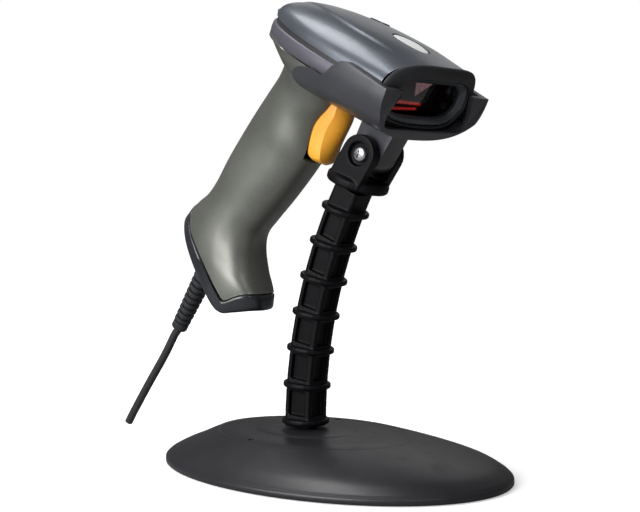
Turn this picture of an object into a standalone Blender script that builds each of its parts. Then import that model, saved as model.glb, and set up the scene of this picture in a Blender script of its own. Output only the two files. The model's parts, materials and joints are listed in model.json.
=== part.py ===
"""Handheld barcode scanner resting in its hands-free stand.

World frame: +Z up, the nose of the scanner points along -Y, X = 0 is the plane of symmetry, and the
origin is on the table under the middle of the base.  Lengths are in millimetres until new_object turns
them into metres.

The scanner and the cradle are drawn in the head frame.  Its origin is the tilt screw's axis, x is to the
right, y runs back along the head and z stands square to the head.
"""

import bpy
import bmesh
import numpy as np
from math import copysign, cos, pi, radians, sin
from mathutils import Matrix, Vector

# ---------------------------------------------------------------- driving dimensions (mm, degrees)
MM = 0.001
GAP = 0.3                    # clearance between neighbouring pieces

BASE_HALF_LENGTH = 95.2      # along Y
BASE_HALF_WIDTH = 67.0       # along X
BASE_WALL = 2.5
BASE_UNDERSIDE = 0.5         # rim height over the table: the feet carry the base
PLATE_BOTTOM, PLATE_THICK = 2.1, 2.4
PLATEAU_Z = 18.9             # top of the base round the neck

NECK_FOOT_Y = 17.3
NECK_FOOT_Z = PLATEAU_Z + GAP
NECK_BEND = 0.00394          # radians of lean per millimetre
NECK_FIRST = 3.4             # arc length to the middle of the lowest ring
NECK_PITCH = 18.32           # ring spacing
NECK_RINGS = 7
NECK_TOP = 125.0             # arc length of the column
NECK_HALF_FOOT = 7.9         # half side of the square column
NECK_HALF_TOP = 7.3
RING_RADIUS = 12.0
RING_THICK = 2.6
RING_LEAN = 0.735            # a ring leans this part of the column's own lean

PIVOT_Y, PIVOT_Z = -24.2, 155.5
TILT = 25.0                  # nose-down angle of the head
EAR_LEAN = 35.0
EAR_RADIUS = 9.3
EAR_INNER, EAR_OUTER = 8.0, 12.9
TONGUE_HALF = 6.9
FLANGE_Y, FLANGE_Z = -15.6, 143.6
FLANGE_LEAN = 20.5
FLANGE_RADIUS = 15.5
FLANGE_THICK = 5.0
SCREW_RADIUS = 2.0

HEAD_HALF_WIDTH = 38.0
HEAD_REAR = 77.0             # rear of the head in the head frame
HEAD_FRONT = -21.5           # front edge of the casings on the centreline
NOSE_BOW = 6.5               # how far that edge runs back towards the sides
NOSE_RAKE = 5.0              # how far it runs back towards the floor
NOSE_MIDDLE = 33.6           # height where the rake starts
HEAD_BOTTOM = 20.4
BAND_BOTTOM, BAND_TOP = 30.9, 38.0
COVER_BOTTOM = 39.4
SEAM_RISE = 0.042            # the seams climb this much per millimetre towards the rear ...
SEAM_RISE_START = 12.0       # ... from here on
STERN_START, STERN_RISE = 46.0, 12.0    # the floor curves up behind here, by this much at the rear
COVER_PEAK, COVER_PEAK_Y = 56.8, 25.0
COVER_FALL = 0.0015          # how fast the crown drops away from its peak
WALL = 2.2
BADGE_Y = 2.0
BADGE_HALF_LENGTH, BADGE_HALF_WIDTH = 10.2, 6.8
LENS_Y, LENS_X = 38.0, 19.5
LENS_HALF_LENGTH, LENS_HALF_WIDTH = 9.0, 3.2

CRADLE_HALF_WIDTH = 43.5
CRADLE_BOTTOM = 15.8
CRADLE_FRONT = -23.0
CRADLE_RAKE = 3.5            # how far the flange runs back at its foot
CRADLE_RAKE_TOP = 27.0       # height where that rake starts
FLANGE_WALL = 2.6            # thickness of the cradle's front flange

HANDLE_POWER = 2.3
TRIGGER_HALF_WIDTH = 8.0
TRIGGER_AXIS = (0.0, 36.2, 12.0)
TRIGGER_POST_END = 44.2      # how far back the trigger's switch post reaches
MIRROR_AXIS = (0.0, 14.0, 31.0)

BOARD_TOP = (48.5, 16.0)     # upper end of the main board, (y, z) in the head frame
BOARD_LENGTH = 79.0
JACK_OUT = -8.3              # the jack's axis behind the board's front face

RELIEF_START = (0.0, 71.4, -88.0)
RELIEF_END = (0.0, 78.5, -138.3)
RELIEF_RADIUS = 5.7
CABLE_RADIUS = 2.2


# ---------------------------------------------------------------- scene and object helpers
def clear_scene():
    for old in list(bpy.data.objects):
        bpy.data.objects.remove(old)


def material(name, colour, roughness, metallic=0.0):
    made = bpy.data.materials.get(name)
    if made:
        return made
    made = bpy.data.materials.new(name)
    made.use_nodes = True
    shader = made.node_tree.nodes["Principled BSDF"]
    shader.inputs["Base Color"].default_value = (*colour, 1.0)
    shader.inputs["Roughness"].default_value = roughness
    shader.inputs["Metallic"].default_value = metallic
    made.diffuse_color = (*colour, 1.0)
    return made


def new_empty(name, location, tilt_degrees=0.0, parent=None):
    empty = bpy.data.objects.new(name, None)
    empty.location = Vector(location) * MM
    empty.rotation_euler = (radians(tilt_degrees), 0.0, 0.0)
    empty.parent = parent
    bpy.context.collection.objects.link(empty)
    return empty


def new_object(name, shape, look, parent=None, origin=(0.0, 0.0, 0.0)):
    """Turn a bmesh drawn in millimetres into an object whose origin is at the given point."""
    bmesh.ops.recalc_face_normals(shape, faces=shape.faces)
    shape.transform(Matrix.Translation(-Vector(origin)))
    shape.transform(Matrix.Scale(MM, 4))
    mesh = bpy.data.meshes.new(name)
    shape.to_mesh(mesh)
    shape.free()
    mesh.shade_smooth()
    mesh.set_sharp_from_angle(angle=radians(32))
    made = bpy.data.objects.new(name, mesh)
    made.location = Vector(origin) * MM
    made.parent = parent
    if look:
        mesh.materials.append(look)
    bpy.context.collection.objects.link(made)
    return made


def combine(target, tool, operation):
    """Boolean a hidden tool object into the target."""
    tool.hide_render = True
    tool.display_type = "WIRE"
    step = target.modifiers.new(tool.name, "BOOLEAN")
    step.operation = operation
    step.object = tool
    step.solver = "EXACT"


def cut(target, shape, parent=None):
    index = len(target.modifiers)
    tool = new_object(f"{target.name}_cut_{index}", shape, None, parent or target.parent)
    combine(target, tool, "DIFFERENCE")


def add(target, shape, parent=None):
    index = len(target.modifiers)
    tool = new_object(f"{target.name}_add_{index}", shape, None, parent or target.parent)
    combine(target, tool, "UNION")


def keep(target, shape, parent=None):
    index = len(target.modifiers)
    tool = new_object(f"{target.name}_keep_{index}", shape, None, parent or target.parent)
    combine(target, tool, "INTERSECT")


# ---------------------------------------------------------------- shape helpers
def superellipse(angle, half_a, half_b, power):
    c, s = cos(angle), sin(angle)
    a = copysign(abs(c) ** (2.0 / power), c) * half_a
    b = copysign(abs(s) ** (2.0 / power), s) * half_b
    return a, b


def ladder_cap(shape, row):
    """Close a left-right symmetric ring with rungs between mirrored points."""
    last = len(row) - 1
    for k in range(len(row) // 2):
        corners = [row[k], row[k + 1], row[last - 1 - k], row[last - k]]
        distinct = list(dict.fromkeys(corners))
        if len(distinct) > 2:
            shape.faces.new(distinct)


def loft(rings, closed=False, ladder=False):
    """Skin a list of equal rings of points; closed joins the last ring to the first."""
    shape = bmesh.new()
    rows = [[shape.verts.new(point) for point in ring] for ring in rings]
    count = len(rows[0])
    pairs = list(zip(rows, rows[1:]))
    if closed:
        pairs.append((rows[-1], rows[0]))
    for lower, upper in pairs:
        for i in range(count):
            j = (i + 1) % count
            shape.faces.new((lower[i], lower[j], upper[j], upper[i]))
    for row in () if closed else (rows[0], rows[-1]):
        if ladder:
            ladder_cap(shape, row)
        else:
            shape.faces.new(row)
    return shape


def prism_x(outline, half_width):
    """Extrude a (y, z) outline from -half_width to +half_width along X."""
    return loft([[(x, y, z) for y, z in outline] for x in (-half_width, half_width)])


def slab_x(outline, x0, x1):
    return loft([[(x, y, z) for y, z in outline] for x in (x0, x1)])


def prism_z(outline, z0, z1):
    """Extrude an (x, y) outline from z0 to z1."""
    return loft([[(x, y, z) for x, y in outline] for z in (z0, z1)])


def prism_y(outline, y0, y1):
    """Extrude an (x, z) outline from y0 to y1."""
    return loft([[(x, y, z) for x, z in outline] for y in (y0, y1)])


def box(x0, x1, y0, y1, z0, z1):
    return prism_z([(x0, y0), (x1, y0), (x1, y1), (x0, y1)], z0, z1)


def arc(centre, radius, start, end, steps):
    """Points of a circular arc, angles in degrees."""
    angles = np.linspace(radians(start), radians(end), steps)
    return [(centre[0] + radius * cos(a), centre[1] + radius * sin(a)) for a in angles]


def circle(centre, radius, steps):
    return arc(centre, radius, 0.0, 360.0 * (steps - 1) / steps, steps)


def rounded_rectangle(half_a, half_b, radius, centre=(0.0, 0.0), steps=4):
    points = []
    for corner, (sa, sb) in enumerate([(1, 1), (-1, 1), (-1, -1), (1, -1)]):
        middle = (centre[0] + sa * (half_a - radius), centre[1] + sb * (half_b - radius))
        points += arc(middle, radius, 90 * corner, 90 * corner + 90, steps)
    return points


def rounded(outline, radius, steps=4):
    """Replace each corner of an outline with a quadratic curve of about the given radius."""
    points = []
    count = len(outline)
    for i in range(count):
        before, here, after = (Vector(outline[(i + k) % count]) for k in (-1, 0, 1))
        reach_in = min(radius, (before - here).length * 0.45)
        reach_out = min(radius, (after - here).length * 0.45)
        a = here + (before - here).normalized() * reach_in
        b = here + (after - here).normalized() * reach_out
        for t in np.linspace(0.0, 1.0, steps):
            points.append(tuple(a * (1 - t) ** 2 + here * 2 * t * (1 - t) + b * t ** 2))
    return points


def lathe(profile, start, axis, steps=20):
    """Turn (radius, distance) pairs about an axis; the profile runs from one end to the other."""
    turn = Vector((0, 0, 1)).rotation_difference(Vector(axis)).to_matrix()
    rings = []
    for radius, distance in profile:
        ring = circle((0.0, 0.0), radius, steps)
        rings.append([tuple(Vector(start) + turn @ Vector((x, y, distance))) for x, y in ring])
    return loft(rings)


def cylinder(radius, start, axis, length, steps=20):
    return lathe([(radius, 0.0), (radius, length)], start, axis, steps)


def tube_ring(inner, outer, start, axis, length, steps=20):
    """A plain washer or sleeve."""
    turn = Vector((0, 0, 1)).rotation_difference(Vector(axis)).to_matrix()
    rings = []
    for radius, distance in ((outer, 0), (outer, length), (inner, length), (inner, 0)):
        ring = circle((0.0, 0.0), radius, steps)
        rings.append([tuple(Vector(start) + turn @ Vector((x, y, distance))) for x, y in ring])
    return loft(rings, closed=True)


def smooth_path(points, steps):
    """Catmull-Rom curve through the points, steps pieces per span."""
    knots = [Vector(p) for p in points]
    knots = [2 * knots[0] - knots[1]] + knots + [2 * knots[-1] - knots[-2]]
    path = []
    for i in range(1, len(knots) - 2):
        a, b, c, d = knots[i - 1:i + 3]
        for k in range(steps):
            t = k / steps
            path.append(0.5 * (2 * b + (c - a) * t + (2 * a - 5 * b + 4 * c - d) * t ** 2
                               + (3 * b - a - 3 * c + d) * t ** 3))
    path.append(knots[-2])
    return path


def swept_tube(path, radius, steps=12):
    """Round bar along a path that stays near the YZ plane."""
    rings = []
    for i, point in enumerate(path):
        along = (path[min(i + 1, len(path) - 1)] - path[max(i - 1, 0)]).normalized()
        side = Vector((1, 0, 0))
        up = side.cross(along).normalized()
        side = along.cross(up)
        rings.append([tuple(point + side * x + up * y) for x, y in circle((0, 0), radius, steps)])
    return loft(rings)


def coil(start, axis, length, coil_radius, wire_radius, turns, steps_per_turn=10, sides=6):
    turn = Vector((0, 0, 1)).rotation_difference(Vector(axis)).to_matrix()
    total = int(turns * steps_per_turn)
    rings = []
    for k in range(total + 1):
        a = 2 * pi * k / steps_per_turn
        out = Vector((cos(a), sin(a), 0))
        centre = out * coil_radius + Vector((0, 0, length * k / total))
        ring = [centre + out * x + Vector((0, 0, y)) for x, y in circle((0, 0), wire_radius, sides)]
        rings.append([tuple(Vector(start) + turn @ p) for p in ring])
    return loft(rings)


# ---------------------------------------------------------------- looks
def looks():
    return {
        "stand": material("stand_plastic", (0.020, 0.021, 0.024), 0.42),
        "black": material("black_plastic", (0.008, 0.008, 0.009), 0.38),
        "cradle": material("cradle_plastic", (0.030, 0.031, 0.036), 0.34),
        "body": material("body_satin", (0.165, 0.170, 0.155), 0.40, 0.35),
        "cover": material("cover_satin", (0.120, 0.135, 0.155), 0.36, 0.35),
        "band": material("band_satin", (0.130, 0.125, 0.145), 0.42, 0.25),
        "cap": material("cap_gloss", (0.030, 0.033, 0.036), 0.28),
        "rubber": material("black_rubber", (0.012, 0.012, 0.013), 0.60),
        "trigger": material("trigger_amber", (0.900, 0.420, 0.030), 0.30),
        "steel": material("plain_steel", (0.560, 0.560, 0.550), 0.35, 1.0),
        "chrome": material("bright_chrome", (0.780, 0.780, 0.790), 0.12, 1.0),
        "brass": material("plain_brass", (0.620, 0.450, 0.180), 0.35, 1.0),
        "window": material("window_red", (0.100, 0.008, 0.012), 0.08),
        "board": material("board_green", (0.015, 0.110, 0.050), 0.45),
        "component": material("component_black", (0.020, 0.020, 0.022), 0.50),
        "copper": material("coil_copper", (0.600, 0.230, 0.100), 0.35, 1.0),
        "mirror": material("mirror_face", (0.850, 0.860, 0.870), 0.04, 1.0),
        "badge": material("badge_white", (0.800, 0.800, 0.790), 0.25),
        "lens": material("indicator_smoke", (0.060, 0.070, 0.070), 0.15),
    }


# ---------------------------------------------------------------- stand: base
def base_levels():
    """(half length, half width, centre y, height) of the base's outer contours, rim to plateau."""
    return [
        (BASE_HALF_LENGTH, BASE_HALF_WIDTH, 0.0, BASE_UNDERSIDE),
        (BASE_HALF_LENGTH, BASE_HALF_WIDTH, 0.0, 2.8),
        (BASE_HALF_LENGTH - 0.8, BASE_HALF_WIDTH - 0.6, 0.0, 3.9),
        (92.3, 65.0, 0.0, 5.4),
        (85.0, 60.0, 0.2, 9.0),
        (74.0, 52.5, 2.6, 12.5),
        (63.0, 45.4, 7.0, 15.4),
        (54.0, 40.3, 11.3, 17.2),
        (52.0, 38.8, 11.8, 17.2),
        (27.5, 21.6, 16.8, 17.9),
        (26.0, 20.4, 17.0, 18.4),
        (10.0, 10.0, NECK_FOOT_Y, PLATEAU_Z),
    ]


def ellipse_ring(half_length, half_width, centre_y, z, steps=40):
    ring = []
    for k in range(steps):
        a = 2 * pi * k / steps
        ring.append((half_width * cos(a), centre_y + half_length * sin(a), z))
    return ring


def build_base(look):
    outer = [ellipse_ring(*level) for level in base_levels()]
    inner = [ellipse_ring(length - BASE_WALL, width - BASE_WALL, y, max(z - BASE_WALL, BASE_UNDERSIDE))
             for length, width, y, z in base_levels()[1:-2]]
    inner.append(ellipse_ring(9.0, 9.0, NECK_FOOT_Y, PLATEAU_Z - 5.0))
    base = new_object("base_shell", loft(outer[::-1] + inner), look["stand"])
    boss_foot = PLATE_BOTTOM + PLATE_THICK + GAP
    for x, y in base_screw_places():
        add(base, cylinder(4.5, (x, y, boss_foot), (0, 0, 1), 9.6, 16))
        cut(base, cylinder(1.4, (x, y, 3.0), (0, 0, 1), 6.2, 12))
    cut(base, cylinder(5.4, (0, NECK_FOOT_Y, 5.0), (0, 0, 1), 20.0, 24))
    cut(base, cylinder(1.6, (0, 44.0, 2.0), (0, 0, 1), 20.0, 12))
    return base


def base_screw_places():
    return [(-36.0, -22.0), (36.0, -22.0), (0.0, 64.0)]


def build_ballast(look):
    """Steel plate that closes the base and keeps the stand from tipping."""
    outline = [(x, y) for x, y, _ in ellipse_ring(83.4, 56.4, 0.0, 0.0, 36)]
    slab = prism_z(outline, PLATE_BOTTOM, PLATE_BOTTOM + PLATE_THICK)
    plate = new_object("ballast_plate", slab, look["steel"])
    for x, y in base_screw_places():
        cut(plate, cylinder(1.8, (x, y, PLATE_BOTTOM - 1.0), (0, 0, 1), 5.0, 16))
        screw = lathe([(2.6, 0.0), (3.2, 0.4), (3.2, 1.1), (1.1, 1.1), (1.1, 6.4), (0.5, 7.2)],
                      (x, y, PLATE_BOTTOM - GAP - 1.1), (0, 0, 1), 14)
        number = base_screw_places().index((x, y)) + 1
        new_object(f"base_screw_{number}", screw, look["steel"])
    return plate


def build_feet(look):
    places = [(0.0, 0.0), (-34.0, -58.0), (34.0, -58.0), (-34.0, 58.0), (34.0, 58.0)]
    for number, (x, y) in enumerate(places, start=1):
        pad = lathe([(5.2, 0.0), (6.0, 0.6), (6.0, PLATE_BOTTOM - GAP)], (x, y, 0.0), (0, 0, 1), 20)
        new_object(f"base_foot_{number}", pad, look["rubber"])


# ---------------------------------------------------------------- stand: neck
def neck_point(s):
    """Centre (y, z) and lean of the neck's column at arc length s."""
    lean = NECK_BEND * s
    y = NECK_FOOT_Y - (1.0 - cos(lean)) / NECK_BEND
    z = NECK_FOOT_Z + sin(lean) / NECK_BEND
    return y, z, lean


def neck_section(s, half, corner, steps=3):
    y0, z0, lean = neck_point(s)
    ring = []
    for a, b in rounded_rectangle(half, half, corner, steps=steps):
        ring.append((a, y0 + b * cos(lean), z0 + b * sin(lean)))
    return ring


def neck_ring_shape(number):
    s = NECK_FIRST + number * NECK_PITCH
    y, z, lean = neck_point(s)
    lean *= RING_LEAN
    axis = Vector((0, -sin(lean), cos(lean)))
    start = Vector((0, y, z)) - axis * RING_THICK / 2
    soft = 0.5
    profile = [(RING_RADIUS - soft, 0.0), (RING_RADIUS, soft),
               (RING_RADIUS, RING_THICK - soft), (RING_RADIUS - soft, RING_THICK)]
    return lathe(profile, start, axis, 24)


def flange_axis():
    lean = radians(FLANGE_LEAN)
    return Vector((0, -sin(lean), cos(lean)))


def neck_half(s):
    """Half side of the column at arc length s: it tapers a little towards the top."""
    return NECK_HALF_FOOT + (NECK_HALF_TOP - NECK_HALF_FOOT) * s / NECK_TOP


def build_neck(look):
    stations = np.linspace(0.6, NECK_TOP, 15)
    column = loft([neck_section(s, neck_half(s), 1.6) for s in stations])
    neck = new_object("neck", column, look["black"])
    for number in range(NECK_RINGS):
        add(neck, neck_ring_shape(number))
    for number in range(NECK_RINGS - 1):
        s0 = NECK_FIRST + number * NECK_PITCH + 3.0
        for side in range(4):
            cut(neck, neck_pocket(s0, s0 + NECK_PITCH - 6.0, side))
    add(neck, cylinder(5.0, (0, NECK_FOOT_Y, 13.0), (0, 0, 1), NECK_FOOT_Z - 12.0, 20))
    top = Vector((0, FLANGE_Y, FLANGE_Z)) - flange_axis() * (FLANGE_THICK - 1.5 + 3.0)
    add(neck, cylinder(4.0, top, flange_axis(), 5.5, 16))
    cut(neck, cylinder(1.6, (0, NECK_FOOT_Y, 9.0), (0, 0, 1), 13.5, 12))
    return neck


def neck_pocket(s0, s1, side):
    """Shallow recess in one face of the column; its bend follows the column."""
    depth = 2.6
    rings = []
    for s in np.linspace(s0, s1, 3):
        y0, z0, lean = neck_point(s)
        face = neck_half(s)
        half = face - 2.8
        ring = []
        for a, b in ((-half, face - depth), (half, face - depth),
                     (half, face + 3.0), (-half, face + 3.0)):
            turn = side * pi / 2
            x, t = a * cos(turn) - b * sin(turn), a * sin(turn) + b * cos(turn)
            ring.append((x, y0 + t * cos(lean), z0 + t * sin(lean)))
        rings.append(ring)
    return loft(rings)


def build_neck_fastener(look):
    start = (0, NECK_FOOT_Y, 9.1)
    washer = tube_ring(1.7, 8.0, (0, NECK_FOOT_Y, 11.6), (0, 0, 1), 1.1, 20)
    new_object("neck_washer", washer, look["steel"])
    screw = lathe([(3.0, 0.0), (3.5, 0.5), (3.5, 2.2), (1.3, 2.2), (1.3, 10.5)], start, (0, 0, 1), 14)
    new_object("neck_screw", screw, look["steel"])


# ---------------------------------------------------------------- stand: yoke and tilt screw
def tombstone(radius, reach):
    """Ear outline in the world YZ plane: round over the pivot, straight down its lean."""
    lean = radians(EAR_LEAN)
    across = Vector((cos(lean), sin(lean)))
    down = Vector((sin(lean), -cos(lean)))
    pivot = Vector((PIVOT_Y, PIVOT_Z))
    points = [tuple(pivot + across * radius * cos(a) - down * radius * sin(a))
              for a in np.linspace(0.0, pi, 15)]
    points.append(tuple(pivot - across * radius + down * reach))
    points.append(tuple(pivot + across * radius + down * reach))
    return points


def build_yoke(look):
    axis = flange_axis()
    bottom = Vector((0, FLANGE_Y, FLANGE_Z)) - axis * (FLANGE_THICK - 1.5)
    profile = [(FLANGE_RADIUS - 1.0, 0.0), (FLANGE_RADIUS, 1.0),
               (FLANGE_RADIUS, FLANGE_THICK - 1.2), (FLANGE_RADIUS - 1.2, FLANGE_THICK)]
    yoke = new_object("yoke", lathe(profile, bottom, axis, 36), look["black"])
    for side in (-1, 1):
        add(yoke, slab_x(tombstone(EAR_RADIUS, 15.0), side * EAR_INNER, side * EAR_OUTER))
    cut(yoke, cylinder(4.3, bottom - axis * 2.0, axis, 5.0, 20))
    cut(yoke, cylinder(SCREW_RADIUS + 0.3, (-20, PIVOT_Y, PIVOT_Z), (1, 0, 0), 40.0, 20))
    cut(yoke, cylinder(5.8, (-20, PIVOT_Y, PIVOT_Z), (1, 0, 0), 20 - EAR_OUTER + 2.8, 28))
    cut(yoke, cylinder(4.4, (20, PIVOT_Y, PIVOT_Z), (-1, 0, 0), 20 - EAR_OUTER + 3.0, 6))
    return yoke


def phillips_cross(start, axis_sign, depth, reach=2.3, half=0.55):
    """Two crossed bars, for the recess in a screw's head."""
    x0, x1 = start[0], start[0] + axis_sign * depth
    y, z = start[1], start[2]
    bars = []
    for turn in (radians(10), radians(100)):
        a, b = Vector((cos(turn), sin(turn))), Vector((-sin(turn), cos(turn)))
        outline = [(y + p[0], z + p[1]) for p in (a * reach + b * half, a * -reach + b * half,
                                                 a * -reach - b * half, a * reach - b * half)]
        bars.append(slab_x(outline, x0, x1))
    return bars


def build_tilt_screw(look):
    head_face = -EAR_OUTER + 0.2
    profile = [(3.2, 0.0), (4.0, 0.8), (4.1, 2.2), (SCREW_RADIUS, 2.2), (SCREW_RADIUS, 26.0)]
    screw = new_object("tilt_screw", lathe(profile, (head_face, PIVOT_Y, PIVOT_Z), (1, 0, 0), 24),
                       look["chrome"])
    for bar in phillips_cross((head_face - 1.0, PIVOT_Y, PIVOT_Z), 1, 2.4):
        cut(screw, bar)
    nut = cylinder(4.0, (EAR_OUTER - 2.7, PIVOT_Y, PIVOT_Z), (1, 0, 0), 2.5, 6)
    nut = new_object("tilt_nut", nut, look["steel"])
    cut(nut, cylinder(SCREW_RADIUS + GAP, (5, PIVOT_Y, PIVOT_Z), (1, 0, 0), 15.0, 20))
    for side, name in ((-1, "friction_washer_left"), (1, "friction_washer_right")):
        x = side * (TONGUE_HALF + 0.25)
        washer = tube_ring(SCREW_RADIUS + 0.3, 7.5, (x, PIVOT_Y, PIVOT_Z), (side, 0, 0), 0.6, 20)
        new_object(name, washer, look["component"])


# ---------------------------------------------------------------- head outlines (head frame)
def head_half_width(y, inset=0.0):
    """Half width of the head in plan, drawn in by the inset."""
    t = max(0.0, y) / (HEAD_REAR - inset)
    return (HEAD_HALF_WIDTH - inset) * max(0.0, 1.0 - t ** 2.6) ** (1 / 2.2)


def seam_rise(y):
    """How far the seams of the head have climbed at y."""
    return SEAM_RISE * max(0.0, y - SEAM_RISE_START)


def stern(y):
    """How far the head's floor has curved up at y."""
    return STERN_RISE * (max(0.0, y - STERN_START) / (HEAD_REAR - STERN_START)) ** 2


def head_stations(inset=0.0, front=HEAD_FRONT):
    """Section positions from the front edge to just short of the rear."""
    rear = HEAD_REAR - inset
    fractions = (0.12, 0.32, 0.5, 0.64, 0.76, 0.85, 0.92, 0.965, 0.99)
    return [front, (front + 6.0) / 2] + [rear * f for f in fractions]


def raked(z, amount=NOSE_RAKE):
    return amount * max(0.0, NOSE_MIDDLE - z) / (NOSE_MIDDLE - HEAD_BOTTOM)


def bowed(y, x, z, width):
    """The casing's front edge runs back towards the sides and the floor; this fades out behind it."""
    fade = max(0.0, 1.0 - (y - HEAD_FRONT) / 24.0)
    return y + fade * (NOSE_BOW * (x / width) ** 2 + raked(z))


def cover_height(y, inset=0.0):
    """Height of the top cover's crown over its lower edge."""
    crown = COVER_PEAK - COVER_FALL * (y - COVER_PEAK_Y) ** 2 - COVER_BOTTOM - seam_rise(y) - inset
    t = max(0.0, y) / (HEAD_REAR - inset)
    return crown * max(0.0, 1.0 - t ** 9) ** (1 / 2.4)


def arch_ring(y, inset, low, steps=20):
    """Arch section: the crown as a superellipse, then straight down to the low edge."""
    width, height = head_half_width(y, inset), cover_height(y, inset)
    ring = []
    for k in range(steps + 1):
        x, z = superellipse(pi * k / steps, width, height, 2.45)
        ring.append((x, bowed(y, x, COVER_BOTTOM, width), COVER_BOTTOM + seam_rise(y) + z))
    if low < COVER_BOTTOM:
        side = bowed(y, width, COVER_BOTTOM, width)
        ring = [(width, side, low)] + ring + [(-width, side, low)]
    return ring


def tray_ring(y, width, top, bottom, bow=True, corner=11.0, power=3.2, steps=16):
    """U section: straight sides, rounded lower corners and an almost flat floor."""
    corner = min(corner, top - bottom)
    ring = [(width, y, top)]
    for k in range(steps + 1):
        x, z = superellipse(-pi * k / steps, width, corner, power)
        ring.append((x, y, bottom + corner + z))
    ring.append((-width, y, top))
    if bow:
        ring = [(x, bowed(y, x, z, width), z) for x, _, z in ring]
    return ring


def tray(inset, top, bottom, front=HEAD_FRONT):
    """Lower half of the head, whose rim follows the seam and whose floor curves up at the rear."""
    return loft([tray_ring(y, head_half_width(y, inset), top + seam_rise(y), bottom + stern(y))
                 for y in head_stations(inset, front)], ladder=True)


# ---------------------------------------------------------------- scanner: casings
def handle_sections():
    """Front point, back point and half width of the handle, from inside the head to below the toe."""
    return [
        ((25.0, 27.0), (59.5, 30.0), 20.0),
        ((26.0, 18.0), (63.0, 24.0), 18.5),
        ((27.0, 9.0), (65.0, 13.0), 16.8),
        ((32.5, -4.0), (68.5, 2.0), 16.0),
        ((28.8, -15.5), (72.9, -10.0), 15.6),
        ((31.0, -23.0), (76.1, -22.0), 15.2),
        ((37.0, -41.0), (79.6, -37.0), 15.0),
        ((43.4, -57.0), (81.6, -50.0), 15.0),
        ((46.8, -67.0), (84.2, -59.0), 15.4),
        ((44.6, -76.0), (89.0, -66.5), 16.0),
        ((37.5, -86.0), (93.4, -76.0), 16.8),
        ((28.8, -96.0), (93.6, -89.0), 17.2),
        ((27.6, -112.0), (91.0, -112.0), 17.2),
    ]


def handle_loft(inset=0.0, first=0, steps=24):
    rings = []
    for front, back, width in handle_sections()[first:]:
        f, b = Vector(front), Vector(back)
        middle, half = (f + b) / 2, (b - f) / 2
        half *= 1.0 - inset / half.length
        ring = []
        for k in range(steps):
            p, x = superellipse(2 * pi * k / steps, 1.0, width - inset, HANDLE_POWER)
            spot = middle + half * p
            ring.append((x, spot.x, spot.y))
        rings.append(ring)
    return loft(rings)


def seam_line(offset=0.0):
    """Where body and end cap meet, heel to toe, moved along the handle by the offset."""
    seam = [(110.0, -56.0), (92.5, -66.0), (87.5, -71.8), (80.5, -79.4), (73.5, -83.8), (62.0, -91.0),
            (48.7, -99.7), (44.4, -102.2), (41.6, -100.0), (37.5, -95.8), (33.0, -93.2), (26.0, -90.8),
            (15.0, -88.4)]
    return [(y, z - offset) for y, z in seam]


def build_body(look, parent):
    body = new_object("body_shell", tray(0.0, BAND_BOTTOM - GAP, HEAD_BOTTOM), look["body"], parent)
    add(body, tray(3.0, BAND_TOP + 0.9, HEAD_BOTTOM + 6.0, HEAD_FRONT + 5.0))
    add(body, handle_loft())
    cut(body, tray(5.0, 60.0, HEAD_BOTTOM + WALL, HEAD_FRONT - 5.0))
    cut(body, handle_loft(WALL, first=0))
    below = seam_line() + [(15.0, -140.0), (110.0, -140.0)]
    cut(body, prism_x(below, 30.0))
    pocket = [(10.0, 17.0), (41.0, 17.0), (41.0, -16.6), (30.0, -17.2), (24.0, -18.9), (10.0, -20.4)]
    cut(body, prism_x(pocket, TRIGGER_HALF_WIDTH + 0.5))
    return body


def build_trigger_web(body):
    """Two cheeks inside the body that carry the trigger's pin."""
    centre = TRIGGER_AXIS[1:]
    hole = arc(centre, 1.35, 22.5, 360.0, 16)
    cheek = rounded_rectangle(5.0, 6.5, 2.0, centre, 4)
    for side in (-1, 1):
        inner = side * (TRIGGER_HALF_WIDTH + 0.5)
        outer = side * (TRIGGER_HALF_WIDTH + 3.0)
        edges = ((cheek, inner), (cheek, outer), (hole, outer), (hole, inner))
        add(body, loft([[(x, y, z) for y, z in outline] for outline, x in edges], closed=True))


def build_cover(look, parent):
    outer = loft([arch_ring(y, 0.6, COVER_BOTTOM) for y in head_stations(0.6)], ladder=True)
    cover = new_object("top_cover", outer, look["cover"], parent)
    inside = 0.6 + WALL
    inner = loft([arch_ring(y, inside, 30.0) for y in head_stations(inside, HEAD_FRONT - 4.0)], ladder=True)
    cut(cover, inner)
    cut(cover, ellipse_column(BADGE_Y, 0.0, BADGE_HALF_LENGTH + GAP, BADGE_HALF_WIDTH + GAP, 54.0, 70.0))
    cut(cover, ellipse_column(LENS_Y, LENS_X, LENS_HALF_LENGTH + GAP, LENS_HALF_WIDTH + GAP, 40.0, 70.0))
    return cover


def ellipse_column(centre_y, centre_x, half_length, half_width, z0, z1, steps=28):
    outline = []
    for k in range(steps):
        a = 2 * pi * k / steps
        outline.append((centre_x + half_width * cos(a), centre_y + half_length * sin(a)))
    return prism_z(outline, z0, z1)


def build_badge(look, parent):
    """Plain oval in a shallow recess of the cover."""
    badge = ellipse_column(BADGE_Y, 0.0, BADGE_HALF_LENGTH, BADGE_HALF_WIDTH, 54.3, 55.9)
    new_object("badge", badge, look["badge"], parent)


def build_lens(look, parent):
    """Indicator window: a light guide that fills a slot in the cover's right shoulder."""
    lens = new_object("indicator_lens", ellipse_column(LENS_Y, LENS_X, LENS_HALF_LENGTH, LENS_HALF_WIDTH, 47.0, 60.0),
                      look["lens"], parent)
    limit = loft([arch_ring(y, 0.4, 30.0) for y in head_stations(0.4)], ladder=True)
    keep(lens, limit)


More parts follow.
